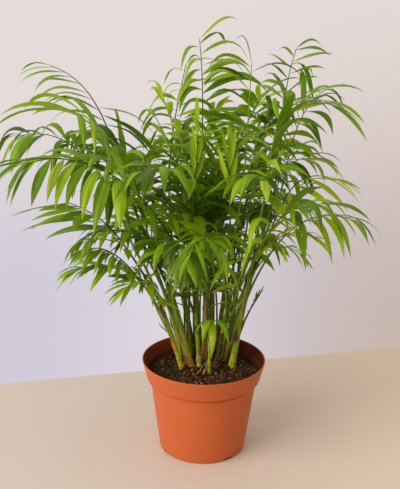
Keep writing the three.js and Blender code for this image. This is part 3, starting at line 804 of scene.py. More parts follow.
def ribHandles(plan, start, tip, along, out):
    span = np.linalg.norm(tip - start)
    slope = math.radians(plan["slope"])
    leaving = unit(along + out * ribRule["outwardLean"])
    arriving = out * math.cos(slope) + upward * math.sin(slope)
    handles = [start, start + leaving * span * plan.get("rise", ribRule["startHandle"]),
               tip - arriving * span * ribRule["endHandle"], tip]
    return {"handles": handles, "out": out, "start": start}


def nearest(pointsA, pointsB):
    return np.linalg.norm(pointsA[:, None] - pointsB[None], axis=-1).min()


def hasRoom(samples, plan, canes, ribs, room, caneRoom):
    rootStart = round(ribRule["samples"] * ribRule["rootShare"])
    for index, cane in enumerate(canes):
        tested = samples[rootStart:] if index == plan.get("cane") else samples
        if nearest(tested, cane["samples"]) <= cane["radii"][0] + caneRoom:
            return False
    return all(nearest(samples, rib["samples"]) > room for rib in ribs)


def swings():
    for attempt in range(ribRule["swingTries"]):
        yield math.ceil(attempt / 2) * ribRule["swingStep"] * (1 if attempt % 2 else -1)


def growRib(choices, canes, ribs):
    for plan in choices:
        cane = canes[plan["cane"]]
        for swing in swings():
            rib = ribLine(plan, cane, swing)
            samples = curveAt(rib["handles"], ribShares)
            if hasRoom(samples, plan, canes, ribs, ribRule["room"], ribRule["caneRoom"]):
                cane["load"] += 1
                return {**plan, **rib, "samples": samples}
    raise ValueError("no room for " + choices[0]["name"])


def crownPoint(angle, reach, height):
    x, y = crownCentre
    return np.array([x + reach * math.cos(angle), y + reach * math.sin(angle), height])


def planFill():
    for ringIndex, plan in enumerate(fillRings):
        for index in range(plan["count"]):
            seed = ringIndex * 50 + index
            angle = math.radians(plan["start"] + index * 360 / plan["count"])
            reach = plan["reach"] * (1 + fillRule["reachWobble"] * scatter(seed + 0.3))
            height = plan["height"] + fillRule["heightWobble"] * scatter(seed + 0.7)
            tip = crownPoint(angle, reach, height)
            yield {**plan, "name": f"{plan['name']}_{index + 1}", "tip": tip}


def canesToTry(plan, canes):
    ranked = []
    for index, cane in enumerate(canes):
        top = cane["line"][-1]
        if cane["load"] < fillRule["perCane"] and top[2] > fillRule["leastTop"]:
            cost = np.linalg.norm(top - plan["tip"]) + cane["load"] * fillRule["loadCost"]
            ranked.append((cost, index))
    return [{**plan, "cane": index, "from": 1 - fillRule["rootStep"] * canes[index]["load"]}
            for cost, index in sorted(ranked)]


def growShoot(index, canes, ribs):
    # inner shoots stand tall and close, outer ones reach out low; none where there is no room
    place = (index + 0.5) / shoots["count"]
    angle = math.radians(index * shoots["turn"] + shoots["start"])
    around = np.array([math.cos(angle), math.sin(angle)])
    foot = np.array(shoots["centre"]) + around * shoots["spread"] * math.sqrt(place)
    start = np.array([*foot, soil["top"] - shoots["sunk"]])
    reach = mix(*shoots["reach"], place) * (1 + shoots["reachWobble"] * scatter(index + 0.4))
    height = mix(*shoots["height"], place) + shoots["heightWobble"] * scatter(index + 0.8)
    plan = {"name": f"shoot{index + 1}", "pairs": shoots["pairs"], "rise": shoots["rise"]}
    plan.update({key: mix(*shoots[key], place) for key in ("slope", "leaf", "sag")})
    for swing in swings():
        tip = crownPoint(angle + math.radians(swing * 2), reach, height)
        rib = ribHandles(plan, start, tip, upward, unit(np.array([*(tip - start)[:2], 0])))
        samples = curveAt(rib["handles"], ribShares)
        if hasRoom(samples, plan, canes, ribs, shoots["room"], shoots["caneRoom"]):
            return [{**plan, **rib, "samples": samples}]
    return []


canes = [growCane(*plan) for plan in canePlans]
ribs = []
for plan in outlineFronds:
    ribs.append(growRib([plan], canes, ribs))
for plan in planFill():
    ribs.append(growRib(canesToTry(plan, canes), canes, ribs))
youngRibs = []
for index in range(shoots["count"]):
    youngRibs += growShoot(index, canes, ribs + youngRibs)
print("grown:", len(canes), "canes,", len(ribs), "ribs,", len(youngRibs), "shoots")


# the canes

bark = {
    "sides": 18, "rowStep": 1.3, "slender": 0.96, "sunk": 5, "nodeGap": (13, 30), "nodeMargin": 4,
    "nodeSwell": 0.09, "nodeReach": 1.5, "scarWidth": 1.4, "ridges": 0.035, "footFlare": 0.18,
    "flareReach": 6, "roughness": 0.42, "shine": 0.14, "lowReach": (12, 75), "rootReach": (2, 16),
}
# stem colours: upper part, lower part, and just over the soil
barkColours = {
    "green": ((0.17, 0.265, 0.008), (0.37, 0.43, 0.018), (0.42, 0.38, 0.03)),
    "orange": ((0.18, 0.27, 0.009), (0.33, 0.36, 0.018), (0.50, 0.19, 0.025)),
    "tan": ((0.14, 0.19, 0.010), (0.30, 0.20, 0.03), (0.24, 0.09, 0.018)),
    "dark": ((0.07, 0.11, 0.006), (0.10, 0.07, 0.012), (0.12, 0.045, 0.012)),
    "scar": ((0.28, 0.24, 0.05), (0.30, 0.19, 0.04), (0.18, 0.07, 0.02)),
}
# the canes that aren't green
barkOf = {
    "stem_left_thick": "orange", "stem_mid": "tan", "stem_right_thin": "tan", "stem_mid_back": "dark",
    "stem_left_back": "dark", "stem_back": "dark", "stem_front_right": "dark", "stem_mid_right": "dark",
}


def makeStemMaterial(name, colour, lowColour, rootColour):
    material, tree, body = newMaterial(
        name, Roughness=bark["roughness"], Specular_IOR_Level=bark["shine"])
    height = axesOf(tree)["Z"]
    low = [(soil["top"] + end) * mm for end in bark["lowReach"]]
    root = [(soil["top"] + end) * mm for end in bark["rootReach"]]
    base = blendColour(tree, ranged(tree, height, *low, 1.0, 0.0), colour, lowColour)
    base = blendColour(tree, ranged(tree, height, *root, 0.85, 0.0), base, rootColour)
    mottled = placeGroup(tree, mottleGroup, Colour=base, Scale=70.0, Amount=0.35)
    addStreaks(tree, body, mottled["Colour"], 900.0, 0.04, (0.86, 1.45), 0.35)
    return material


def addStreaks(tree, body, colour, scale, stretch, gains, strength):
    # streaks lighten and darken a colour, and stand out a little
    streaks = placeGroup(tree, streakGroup, Scale=scale, Stretch=stretch)
    gain = ranged(tree, streaks["Value"], 0.35, 0.75, *gains)
    send(tree, body.inputs, {"Base Color": gainColour(tree, colour, gain)})
    addBump(tree, body, streaks["Value"], strength, 0.0004)


barkNames = list(barkColours)


def stemMaterials(kind, colours):
    return [makeStemMaterial(kind + name.capitalize(), *shades) for name, shades in colours.items()]


def caneRadius(cane, share):
    return mix(*cane["radii"], share)


def ridgeAt(angle, height, number):
    # long low ridges, which differ from cane to cane
    return noise.noise(Vector((math.cos(angle) * 3 + number * 9, math.sin(angle) * 3, height / 30)))


def makeCanes():
    gathering = Gathering()
    angles = anglesRound(bark["sides"])
    for index, cane in enumerate(canes):
        length = np.linalg.norm(np.diff(cane["samples"], axis=0), axis=1).sum()
        rows = int(length / bark["rowStep"])
        shares = np.linspace(0, 1, rows)
        centres = curveAt(cane["line"], shares)
        radii = caneRadius(cane, shares) * bark["slender"]
        radii *= 1 + bark["footFlare"] * np.exp(-shares * length / bark["flareReach"])
        rowSlots = np.full(rows, barkNames.index(barkOf.get(cane["name"], "green")))
        # a swollen ring with a scar at each node, closer together low down
        at = bark["nodeMargin"] + 6 * chance(index * 7.7)
        while at < length - bark["nodeMargin"]:
            away = shares * length - at
            radii *= 1 + bark["nodeSwell"] * np.exp(-(away / bark["nodeReach"]) ** 2)
            rowSlots[np.abs(away - 0.6) < bark["scarWidth"] / 2] = barkNames.index("scar")
            at += mix(*bark["nodeGap"], at / length) * (1 + 0.25 * scatter(index * 3.3 + at))
        ridges = np.array([[ridgeAt(angle, height, index) for angle in angles]
                           for height in shares * length])
        relief = radii[:, None] * (1 + bark["ridges"] * ridges)
        centres = np.vstack([centres[0] - upward * bark["sunk"], centres])
        relief = np.vstack([relief[:1], relief])
        addTube(gathering, centres, relief, bark["sides"], rowSlots=rowSlots)
    piece = gathering.build("canes", stemMaterials("bark", barkColours))
    return finishPiece(piece, "cane", *[cane["name"] for cane in canes])


makeCanes()
print("canes made")


# sleeves of old leaf feet round the canes

sheath = {
    "rows": 16, "columns": 15, "ragged": 0.16, "oblique": (0.16, -0.1), "gap": 0.35, "wind": 28,
    "ripple": 0.3, "roughness": 0.6, "shine": 0.3,
    "strandSides": 8, "strandRows": 12,
}
# colours of a sheath, and of its dry hem
sheathColours = {
    "sleeve": ((0.15, 0.24, 0.016), (0.40, 0.24, 0.06)),
    "straw": ((0.52, 0.35, 0.11), (0.62, 0.44, 0.18)),
    "rust": ((0.48, 0.19, 0.04), (0.62, 0.33, 0.10)),
    "brown": ((0.12, 0.06, 0.022), (0.26, 0.13, 0.045)),
}
sheathKinds = list(sheathColours)
# the kind, which cane, from and to which share of it, how far round it reaches and which way it
# faces, in degrees, and how far it stands off at its top, in millimetres
sheathPlans = [
    ("sleeve", 1, (0.36, 1.0), 310, 330, 2.4),
    ("straw", 1, (0.10, 0.52), 90, 222, 1.4),
    ("rust", 1, (0.02, 0.15), 170, 262, 0.7),
    ("brown", 0, (0.50, 0.66), 120, 290, 1.8),
    ("rust", 0, (0.16, 0.34), 90, 235, 0.9),
    ("straw", 3, (0.02, 0.24), 150, 255, 0.8),
    ("brown", 3, (0.44, 0.56), 110, 230, 1.4),
    ("straw", 4, (0.42, 0.66), 190, 270, 1.7),
    ("rust", 4, (0.04, 0.28), 170, 260, 1.0),
    ("brown", 7, (0.20, 0.40), 130, 250, 1.7),
    ("brown", 9, (0.24, 0.37), 110, 232, 1.4),
    ("sleeve", 9, (0.46, 0.98), 290, 20, 2.0),
    ("brown", 13, (0.10, 0.30), 120, 290, 1.3),
    ("sleeve", 13, (0.46, 0.96), 280, 120, 1.6),
    ("straw", 5, (0.50, 0.86), 150, 200, 0.9),
    ("sleeve", 2, (0.44, 0.98), 290, 200, 1.9),
    ("sleeve", 6, (0.42, 0.97), 290, 90, 1.8),
    ("straw", 10, (0.12, 0.42), 160, 150, 1.4),
    ("rust", 11, (0.10, 0.40), 160, 90, 1.5),
    ("brown", 12, (0.30, 0.62), 160, 40, 1.6),
    ("straw", 8, (0.24, 0.60), 150, 20, 1.2),
]
# loose dry strands: a root over the soil, a withered stem and dead twigs, each with its kind,
# ends, bow and radii
strands = [
    ("straw", (-0.6, -13.4, 112), (9.8, 0, 139.6), 2.0, (0.7, 0.35)),
    ("straw", (-10, -17, 113), (3.5, -6, 127), 1.6, (0.5, 0.3)),
    ("straw", (26.3, 29.9, 108), (37.0, 10.5, 150.8), 2.4, (2.0, 1.0)),
    ("brown", (-47, 1.5, 162), (-62.1, -1, 181.2), 3.0, (1.0, 0.45)),
    ("brown", (-58, 3, 206), (-48, -7, 216), 4.0, (0.8, 0.4)),
    ("straw", (52, 2, 224), (42, -6, 200), 3.0, (0.7, 0.4)),
]


def makeSheathMaterial(name, colour, hemColour):
    material, tree, body = newMaterial(
        name, Roughness=sheath["roughness"], Specular_IOR_Level=sheath["shine"])
    lay = axesOf(tree, "UV")
    edge = ranged(tree, maths(tree, "ABSOLUTE", lay["X"]), 3.9, 5.0, 0.0, 1.0)
    hem = maths(tree, "MAXIMUM", edge, ranged(tree, lay["Y"], 6.0, 0.5, 0.0, 1.0))
    mottled = placeGroup(tree, mottleGroup, Colour=(*colour, 1), Scale=90.0, Amount=0.4)
    hemmed = blendColour(tree, hem, mottled["Colour"], hemColour)
    addStreaks(tree, body, hemmed, 1100.0, 0.05, (0.75, 1.6), 0.5)
    return material


def sheathGrid(index, kind, caneIndex, span, wrap, facing, stand):
    cane = canes[caneIndex]
    first, last = span
    sleeve = kind == "sleeve"
    along = np.linspace(0, 1, sheath["rows"])
    around = np.linspace(-0.5, 0.5, sheath["columns"])
    grid = np.zeros((sheath["rows"], sheath["columns"], 3))
    for column, turn in enumerate(around):
        oblique = sheath["oblique"][0] * math.cos(turn * fullTurn) + sheath["oblique"][1]
        ragged = 0 if sleeve else sheath["ragged"] * scatter(index * 5.1 + column * 0.9)
        end = min(1.0, last + (last - first) * (ragged + oblique))
        shares = mix(first, end, along)
        # a torn strip narrows to both ends, and winds a little round its cane
        narrow = 1 if sleeve else np.sin(math.pi * (0.10 + 0.84 * along)) ** 0.8
        wind = 0 if sleeve else sheath["wind"] * scatter(index * 2.3) * along
        angles = np.radians(facing + turn * wrap * narrow + wind)
        off = stand * along ** 1.5 + sheath["gap"]
        off = off + sheath["ripple"] * np.sin(along * 5 + index + turn * 9) * along
        outward = np.stack([np.cos(angles), np.sin(angles), angles * 0], axis=-1)
        radii = caneRadius(cane, shares) + off
        grid[:, column] = curveAt(cane["line"], shares) + radii[:, None] * outward
    # the lay of a sheath: 10 wide and 30 long
    uvs = np.stack(np.broadcast_arrays(around[None, :] * 10, along[:, None] * 30), axis=-1)
    return grid, uvs


def makeSheaths(stuff):
    gathering = Gathering()
    for index, (kind, *plan) in enumerate(sheathPlans):
        gathering.grid(*sheathGrid(index, kind, *plan), sheathKinds.index(kind))
    finishPiece(gathering.build("caneSheaths", stuff), "cane")


def makeStrands(stuff):
    loose = Gathering()
    shares = np.linspace(0, 1, sheath["strandRows"])
    for index, (kind, start, end, bow, radii) in enumerate(strands):
        first, last = np.array(start, float), np.array(end, float)
        aside = np.array([bow, -bow, bow * 0.6])
        line = [first, mix(first, last, 0.35) + aside, mix(first, last, 0.75) - aside, last]
        knobbly = mix(*radii, shares) * (1 + 0.15 * np.sin(shares * 17 + index))
        addTube(loose, curveAt(line, shares), knobbly, sheath["strandSides"], sheathKinds.index(kind))
    finishPiece(loose.build("looseStrands", stuff), "cane")


sheathStuff = [makeSheathMaterial("sheath" + name.capitalize(), *colours)
               for name, colours in sheathColours.items()]
makeSheaths(sheathStuff)
makeStrands(sheathStuff)
print("sheaths made")


# the ribs of the fronds

ribLook = {
    "sides": 8, "rows": 34, "thin": 0.5, "taper": 0.8, "clasp": 0.16, "claspRows": 5,
    "claspSlide": (0.35, 0.85), "claspSwell": (0.66, 1.1), "footSwell": 0.25,
    "footReach": 0.03, "crownReach": 0.06, "shades": (0.5, -0.3),
}
# rib colours, dealt out by frond: upper part, lower part, and just over the soil
ribColours = {
    "bright": ((0.20, 0.29, 0.009), (0.34, 0.41, 0.014), (0.28, 0.22, 0.03)),
    "green": ((0.11, 0.175, 0.007), (0.19, 0.25, 0.009), (0.18, 0.11, 0.02)),
    "dark": ((0.06, 0.092, 0.006), (0.085, 0.105, 0.007), (0.12, 0.055, 0.014)),
}


def ribRadius(share):
    return mix(ribRule["radii"][0], ribLook["thin"], share ** ribLook["taper"])


def claspedLine(rib, radii, shares):
    # the foot of a rib runs back along its cane, as a sheath does
    cane = canes[rib["cane"]]
    share = rib.get("from", 1)
    back = np.linspace(max(0.04, share - ribLook["clasp"]), share, ribLook["claspRows"], endpoint=False)
    line = curveAt(cane["line"], back)
    if share < 1:
        slide = np.linspace(*ribLook["claspSlide"], len(back))[:, None]
        line = line + (rib["start"] - curveAt(cane["line"], share)) * slide
        swell = np.linspace(*ribLook["claspSwell"], len(back)) * ribRule["radii"][0]
        radii = radii * (1 + ribLook["footSwell"] * np.exp(-shares / ribLook["footReach"]))
    else:
        swell = caneRadius(cane, back) * 0.99
        radii = radii + (caneRadius(cane, 1.0) - radii[0]) * np.exp(-shares / ribLook["crownReach"])
    return line, np.concatenate([swell, radii])


def makeRibs():
    shares = np.linspace(0, 1, ribLook["rows"])
    gathering = Gathering()
    for index, rib in enumerate(ribs + youngRibs):
        centres, radii = curveAt(rib["handles"], shares), ribRadius(shares)
        if "cane" in rib:
            line, radii = claspedLine(rib, radii, shares)
            centres = np.vstack([line, centres])
        slot = sum(scatter(index * 5.7) <= limit for limit in ribLook["shades"])
        addTube(gathering, centres, radii, ribLook["sides"], slot)
    piece = gathering.build("frondRibs", stemMaterials("rib", ribColours))
    return finishPiece(piece, "frond")


makeRibs()
print("ribs made")


# the leaflets of the fronds

leaflet = {
    "rows": 10, "columns": 5, "width": 0.17, "fullness": (0.62, 0.2, 0.72), "keepWidth": 0.75,
    "seat": 0.4, "sagPower": 1.8, "sweep": 0.3, "curl": 0.55, "fold": 0.3, "foldPower": 1.3,
    "twist": (16, 40), "wave": 0.06, "waves": 2.1, "widest": 1.2, "footWidth": 0.012,
    "fullest": 0.214,
    "jitter": {"place": 0.36, "turn": 13, "lift": 0.24, "length": 0.17, "slim": 0.18, "sag": 0.42},
}
# a plain frond: how its leaflets stand, from the first to the last along its rib, and their size
plainFrond = {
    "slim": 0.95, "crowd": 1.5, "start": 0.3, "until": 1, "startAngle": 72, "endAngle": 26,
    "lift": 0.26, "level": 0, "skyward": 0.7, "long": 1, "sag": 1, "skip": 0.05,
    "tipTurn": 16, "tipSag": 1.3,
}
# how single fronds and rings of them depart from that; where there are two values, the first is
# for the leaflets on the rib's right and the second for those on its left
# a frond's tone is partly painted shade: frond_left_dark and frond_front are set darker for the shadow
# they stand in
frondDress = {
    "frond_top_left": {
        "slim": 1.0, "skyward": 1.0, "crowd": 1.45, "level": 0.6, "long": (1.2, 0.9), "start": 0.38,
        "startAngle": (124, 50), "endAngle": (96, 30), "until": (0.5, 1), "sag": (1.2, 1.6),
        "toneAndShade": 0.5},
    "frond_left_high": {
        "slim": 0.82, "level": 0.55, "sag": (1.35, 2.6), "long": (1.1, 0.74),
        "startAngle": (72, 104), "endAngle": (26, 66), "toneAndShade": 0.5},
    "frond_left_near": {
        "slim": (0.72, 0.8), "crowd": 1.75, "lift": (0.15, -0.3), "sag": (1.1, 1.0), "long": 0.92,
        "startAngle": 74, "endAngle": (24, 22), "toneAndShade": 0.48, "skip": 0},
    "frond_left_dark": {"slim": 0.74, "crowd": 1.7, "sag": 2.5, "toneAndShade": 0.14},
    "frond_left_low": {
        "slim": 1.0, "crowd": 1.15, "long": (0.9, 0.8), "level": (1.0, 0), "lift": (0.0, 0.26),
        "sag": (1.4, 1), "toneAndShade": 0.46},
    "frond_left_lowest": {
        "slim": 0.9, "crowd": 2.1, "long": 0.85, "level": 1.0, "sag": 1.5, "toneAndShade": 0.55},
    "frond_left_small": {"crowd": 2.1, "long": 1.35, "toneAndShade": 0.55},
    "frond_left_under": {"slim": 1.15, "crowd": 1.9, "long": 1.4, "toneAndShade": 0.6},
    "frond_top": {
        "slim": (0.95, 1.15), "skyward": 0.8, "startAngle": (78, 84), "endAngle": (62, 72),
        "lift": 0.3, "sag": (1.6, 3.4), "crowd": 1.8, "long": (1.15, 0.75), "tipTurn": 46,
        "tipSag": 0.85, "skip": 0, "toneAndShade": 0.54},
    "frond_top_thin": {
        "slim": (1.0, 1.1), "skyward": 0.8, "startAngle": (68, 84), "endAngle": (52, 76),
        "sag": (1.5, 3.6), "crowd": 1.3, "long": 1.1, "start": 0.44, "toneAndShade": 0.54},
    "frond_top_right": {
        "slim": 0.85, "skyward": 0.8, "endAngle": 50, "sag": 1.4, "crowd": 1.7, "long": 1.05,
        "toneAndShade": 0.52},
    "frond_right_high": {
        "slim": 1.0, "endAngle": 50, "sag": 1.2, "crowd": 1.9, "long": (1.15, 0.75), "tipTurn": 30,
        "toneAndShade": 0.5},
    "frond_right_dark": {
        "slim": 0.72, "skyward": 0.95, "sag": 1.5, "crowd": 1.9, "long": 1.05, "start": 0.24,
        "toneAndShade": 0.36},
    "frond_right_broad": {
        "slim": 0.62, "skyward": 0.95, "crowd": 1.8, "sag": (1.5, 2.0), "long": (1.15, 0.7),
        "toneAndShade": 0.52},
    "frond_right_mid": {
        "slim": 0.6, "skyward": 0.95, "crowd": 0.9, "level": 1.0, "sag": 1.4, "start": 0.24},
    "frond_right_low": {
        "slim": 0.66, "crowd": 0.75, "level": 0.8, "sag": 1.3, "long": 1.05, "start": 0.46,
        "toneAndShade": 0.45},
    "frond_front_right": {"slim": 0.66, "crowd": 1.1, "long": 0.92, "start": 0.24, "toneAndShade": 0.54},
    "frond_front": {
        "slim": 0.62, "crowd": 1.2, "lift": -0.3, "level": 1.0, "sag": 1.4, "endAngle": 52,
        "long": 1.05, "toneAndShade": 0.32},
    "frond_low_tuft": {"toneAndShade": 0.5, "leaves": [
        {"side": -1, "place": 0.55, "turn": 20, "length": 0.9, "sag": 1.2, "slim": 0.6},
        {"side": -1, "place": 0.8, "turn": 4, "length": 1.2, "sag": 1.4, "slim": 0.8},
        {"side": -1, "place": 1.0, "turn": -24, "length": 1.7, "sag": 1.9, "slim": 0.68},
        {"side": 1, "place": 0.75, "turn": -8, "length": 1.25, "sag": 1.8, "slim": 0.85},
        {"side": 1, "place": 0.3, "turn": 26, "length": 1.0, "sag": 0.4, "slim": 0.35},
        {"side": 1, "place": 0.15, "turn": 34, "length": 0.8, "sag": 0.25, "slim": 0.3},
    ]},
    "frond_spear_left": {"slim": 0.6, "crowd": 1.4, "start": 0.66, "toneAndShade": 0.82},
    "frond_spear_right": {"slim": 0.6, "crowd": 1.4, "start": 0.66, "toneAndShade": 0.82},
    "frond_upright": {"slim": 1.0, "skyward": 0.8, "endAngle": 52, "crowd": 1.7, "long": 1.05},
    "frond_upright_3": {"slim": 0.85, "skyward": 0.8, "endAngle": 52, "crowd": 1.1, "sag": 1.7},
    "frond_upright_4": {"slim": 0.75, "skyward": 0.8, "endAngle": 70, "sag": 1.9, "tipTurn": 60},
    "frond_arching_1": {"crowd": 1.9},
    "frond_arching_3": {"crowd": 1.7, "long": 1.15, "sag": 0.8},
    "frond_arching_5": {"crowd": 1.7, "long": 1.1, "sag": 1.4, "start": 0.24, "toneAndShade": 0.4},
    "frond_arching_7": {"slim": 0.7, "crowd": 0.7},
    "frond_arching_8": {"slim": 0.6, "crowd": 0.7},
    "frond_spreading_1": {"crowd": 2.3, "long": 1.1, "start": 0.24},
    "frond_spreading_2": {"crowd": 2.0},
    "frond_spreading_4": {"slim": 0.85, "crowd": 1.3, "sag": 2.0, "start": 0.24},
    "frond_spreading_5": {
        "slim": 0.85, "crowd": 1.7, "sag": 2.0, "long": 0.95, "start": 0.22, "toneAndShade": 0.42},
    "frond_spreading_6": {"crowd": 2.1, "sag": 1.6, "start": 0.22, "toneAndShade": 0.4},
    "frond_spreading_7": {"slim": 0.7, "crowd": 0.5, "long": 0.6, "start": 0.6},
    "frond_spreading_8": {"slim": 0.7, "crowd": 0.7, "long": 0.7, "start": 0.5},
    "shoot22": {"slim": 0.7, "crowd": 0.6, "long": 0.6, "start": 0.5},
}
# what a leaflet tries in turn where it would cut through what has grown: a turn, a share of its
# length, and a lift
leafletTries = [(0, 1, 0), (7, 0.98, 0.1), (-7, 0.96, -0.1), (13, 0.9, 0.22), (-14, 0.86, 0.05),
                (4, 0.72, 0.3), (-4, 0.6, -0.2), (0, 0.45, 0.12)]
# leaf colours, partly the leaves' own and partly painted light and shade, with the least tone that each
# one needs, and one for a few leaflets of any frond
leafTints = {
    "bright": (0.400, 0.500, 0.012), "fresh": (0.252, 0.370, 0.004), "mid": (0.162, 0.280, 0.003),
    "deep": (0.096, 0.190, 0.002), "shaded": (0.042, 0.094, 0.001), "olive": (0.232, 0.296, 0.010),
}
tintLimits = {"bright": 0.9, "fresh": 0.66, "mid": 0.42, "deep": 0.2}
tintNames = list(leafTints)
# the tone of a frond that has none of its own: brighter further out and higher up, as painted light and
# shade, and wandering at random
toneAndShadeRule = {"least": 0.45, "outward": 0.1, "reach": 220, "upward": 0.2, "from": 250, "rise": 300,
            "frondWander": 0.3, "leafletWander": 0.33, "olive": 0.93}
leafLook = {
    "shine": 0.5, "shineTint": (0.98, 1.0, 0.48, 1), "roughness": (0.22, 0.36), "vein": 1.15,
    "midrib": 0.55, "paler": (1.3, 0.012), "streaks": (0.62, 1.45), "underside": 0.3,
    "yellowPoint": (0.27, 0.27, 0.04), "dryPoint": (0.30, 0.16, 0.06), "through": 0.29,
}


def makeLeafMaterial(name, colour):
    material, tree, body = newMaterial(
        name, Specular_IOR_Level=leafLook["shine"], Specular_Tint=leafLook["shineTint"])
    veins = placeGroup(tree, veinGroup, Spacing=leafLook["vein"], Midrib=leafLook["midrib"])
    mottled = placeGroup(tree, mottleGroup, Colour=(*colour, 1), Scale=55.0, Amount=0.3)
    gain, lift = leafLook["paler"]
    paler = tuple(min(1.0, part * gain + lift) for part in colour)
    middle = maths(tree, "MULTIPLY", veins["Midrib"], 0.45)
    lined = blendColour(tree, middle, mottled["Colour"], paler)
    streak = ranged(tree, veins["Streak"], 0.3, 0.7, *leafLook["streaks"])
    streaked = gainColour(tree, lined, streak)
    underside = addNode(tree, "ShaderNodeNewGeometry").outputs["Backfacing"]
    under = maths(tree, "MULTIPLY", underside, leafLook["underside"])
    coloured = blendColour(tree, under, streaked, paler)
    # the long points yellow, and some of them are dry
    tipward = ranged(tree, veins["Along"], 0.74, 1.0, 0.0, 0.45)
    coloured = blendColour(tree, tipward, coloured, leafLook["yellowPoint"])
    dry = ranged(tree, mottled["Value"], 0.50, 0.62, 0.0, 0.8)
    dryTip = maths(tree, "MULTIPLY", dry, ranged(tree, veins["Along"], 0.88, 0.97, 0.0, 1.0))
    send(tree, body.inputs, {
        "Base Color": blendColour(tree, dryTip, coloured, leafLook["dryPoint"]),
        "Roughness": ranged(tree, mottled["Value"], 0.3, 0.7, *leafLook["roughness"])})
    addBump(tree, body, veins["Height"], 0.5, 0.0004)
    # daylight through the blade is yellower than what it throws back
    red, green, blue = colour
    glow = (min(1.0, red * 1.6 + 0.008), min(1.0, green * 1.9 + 0.03), blue * 0.6, 1)
    through = addNode(tree, "ShaderNodeBsdfTranslucent", {"Color": glow})
    both = addNode(tree, "ShaderNodeMixShader", {
        0: leafLook["through"], 1: body.outputs[0], 2: through.outputs[0]})
    send(tree, tree.nodes["Material Output"].inputs, {"Surface": both.outputs[0]})
    return material


def ribFrame(rib, share):
    forward = headingAt(rib["handles"], share)
    left = np.array([-rib["out"][1], rib["out"][0], 0])
    up = unit(np.cross(forward, left))
    left = np.cross(up, forward)
    roll = math.radians(rib.get("roll", 0)) * min(1, share / ribRule["petiole"])
    centre = curveAt(rib["handles"], share)
    return centre, forward, turned(left, forward, roll), turned(up, forward, roll)


def bladeShape(shares):
    # half-width along a leaflet: narrow at the foot, widest near the middle, and a long point
    shape = (shares + leaflet["footWidth"]) * (1 - shares) ** leaflet["widest"]
    return shape / leaflet["fullest"]


def dressed(rib, side, name):
    # what a frond asks of its leaflets on one side
    value = rib["dress"][name]
    return value[side > 0] if isinstance(value, tuple) else value


def bladeOver(centres, across, ups, width, seed):
    # a folded, twisted and rippled blade over the midrib of a leaflet
    shares = np.linspace(0, 1, len(centres))
    steady, tipward = leaflet["twist"]
    turns = steady * scatter(seed + 0.5) + tipward * scatter(seed + 0.6) * shares
    twist = np.radians(turns)[:, None]
    wideways = across * np.cos(twist) + ups * np.sin(twist)
    outways = ups * np.cos(twist) - across * np.sin(twist)
    half = (width / 2 * bladeShape(shares))[:, None]
    steps = np.linspace(-1, 1, leaflet["columns"])
    offset = half * steps
    sunk = -leaflet["fold"] * half * np.abs(steps) ** leaflet["foldPower"]
    ripple = np.sin(fullTurn * (leaflet["waves"] * shares[:, None] + scatter(seed + 0.7)) + steps)
    sunk = sunk + leaflet["wave"] * half * ripple * np.abs(steps)
    grid = centres[:, None] + wideways[:, None] * offset[..., None]
    grid = grid + outways[:, None] * sunk[..., None]
    uvs = np.stack(np.broadcast_arrays(offset, shares[:, None]), axis=-1)
    return grid, uvs


def leafletGrid(rib, leaf, retry, seed):
    place, side, wide = leaf["place"], leaf["side"], rib.get("open", 1)
    retryTurn, retryLength, retryLift = retry
    jitter = leaflet["jitter"]

    def asked(name):
        return dressed(rib, side, name)

    # where it sits on the rib, and which way it leaves
    share = mix(asked("start"), 1, place)
    centre, forward, left, up = ribFrame(rib, share)
    turn = mix(asked("startAngle"), asked("endAngle"), place) + leaf["turn"]
    turn += retryTurn + jitter["turn"] * scatter(seed + 0.1)
    angle = math.radians(wide * turn)
    lift = (asked("lift") + retryLift + jitter["lift"] * scatter(seed + 0.2)) * wide
    heading = unit(forward * math.cos(angle) + left * side * math.sin(angle) + up * lift)
    heading = unit(heading - upward * max(0, heading[2]) * asked("level"))

    # its length and width, which are least at both ends of the rib
    least, start, spread = leaflet["fullness"]
    fullness = mix(least, 1, math.sin(math.pi * (start + spread * place)))
    length = rib["leaf"] * asked("long") * fullness * leaf["length"] * retryLength
    length *= 1 + jitter["length"] * scatter(seed + 0.3)
    slim = asked("slim") * leaf["slim"] * (1 + jitter["slim"] * scatter(seed + 0.35))
    width = length * rib.get("width", leaflet["width"]) * slim
    width /= max(leaflet["keepWidth"], retryLength)

    # its midrib, which sags and curls
    sag = rib["sag"] * asked("sag") * leaf["sag"] * (1 + jitter["sag"] * scatter(seed + 0.4))
    shares = np.linspace(0, 1, leaflet["rows"] + 1)
    middles = ((shares[1:] + shares[:-1]) / 2)[:, None]
    aside = unit(np.cross(heading, upward)) * leaflet["curl"] * scatter(seed + 0.45) * wide
    headings = heading - upward * sag * middles ** leaflet["sagPower"]
    headings = unit(headings + forward * leaflet["sweep"] * wide * middles + aside * middles ** 2)
    foot = centre + left * side * ribRadius(share) * leaflet["seat"]
    centres = np.vstack([foot, foot + np.cumsum(headings * length / leaflet["rows"], axis=0)])
    facing = unit(np.vstack([headings[:1], headings[1:] + headings[:-1], headings[-1:]]))
    across = np.cross(heading, unit(mix(up, upward, asked("skyward"))))
    across = unit(across - facing * (facing @ across)[:, None])
    return bladeOver(centres, across, np.cross(across, facing), width, seed)


def leafletSeed(number, index):
    return number * 41.7 + index * 1.93


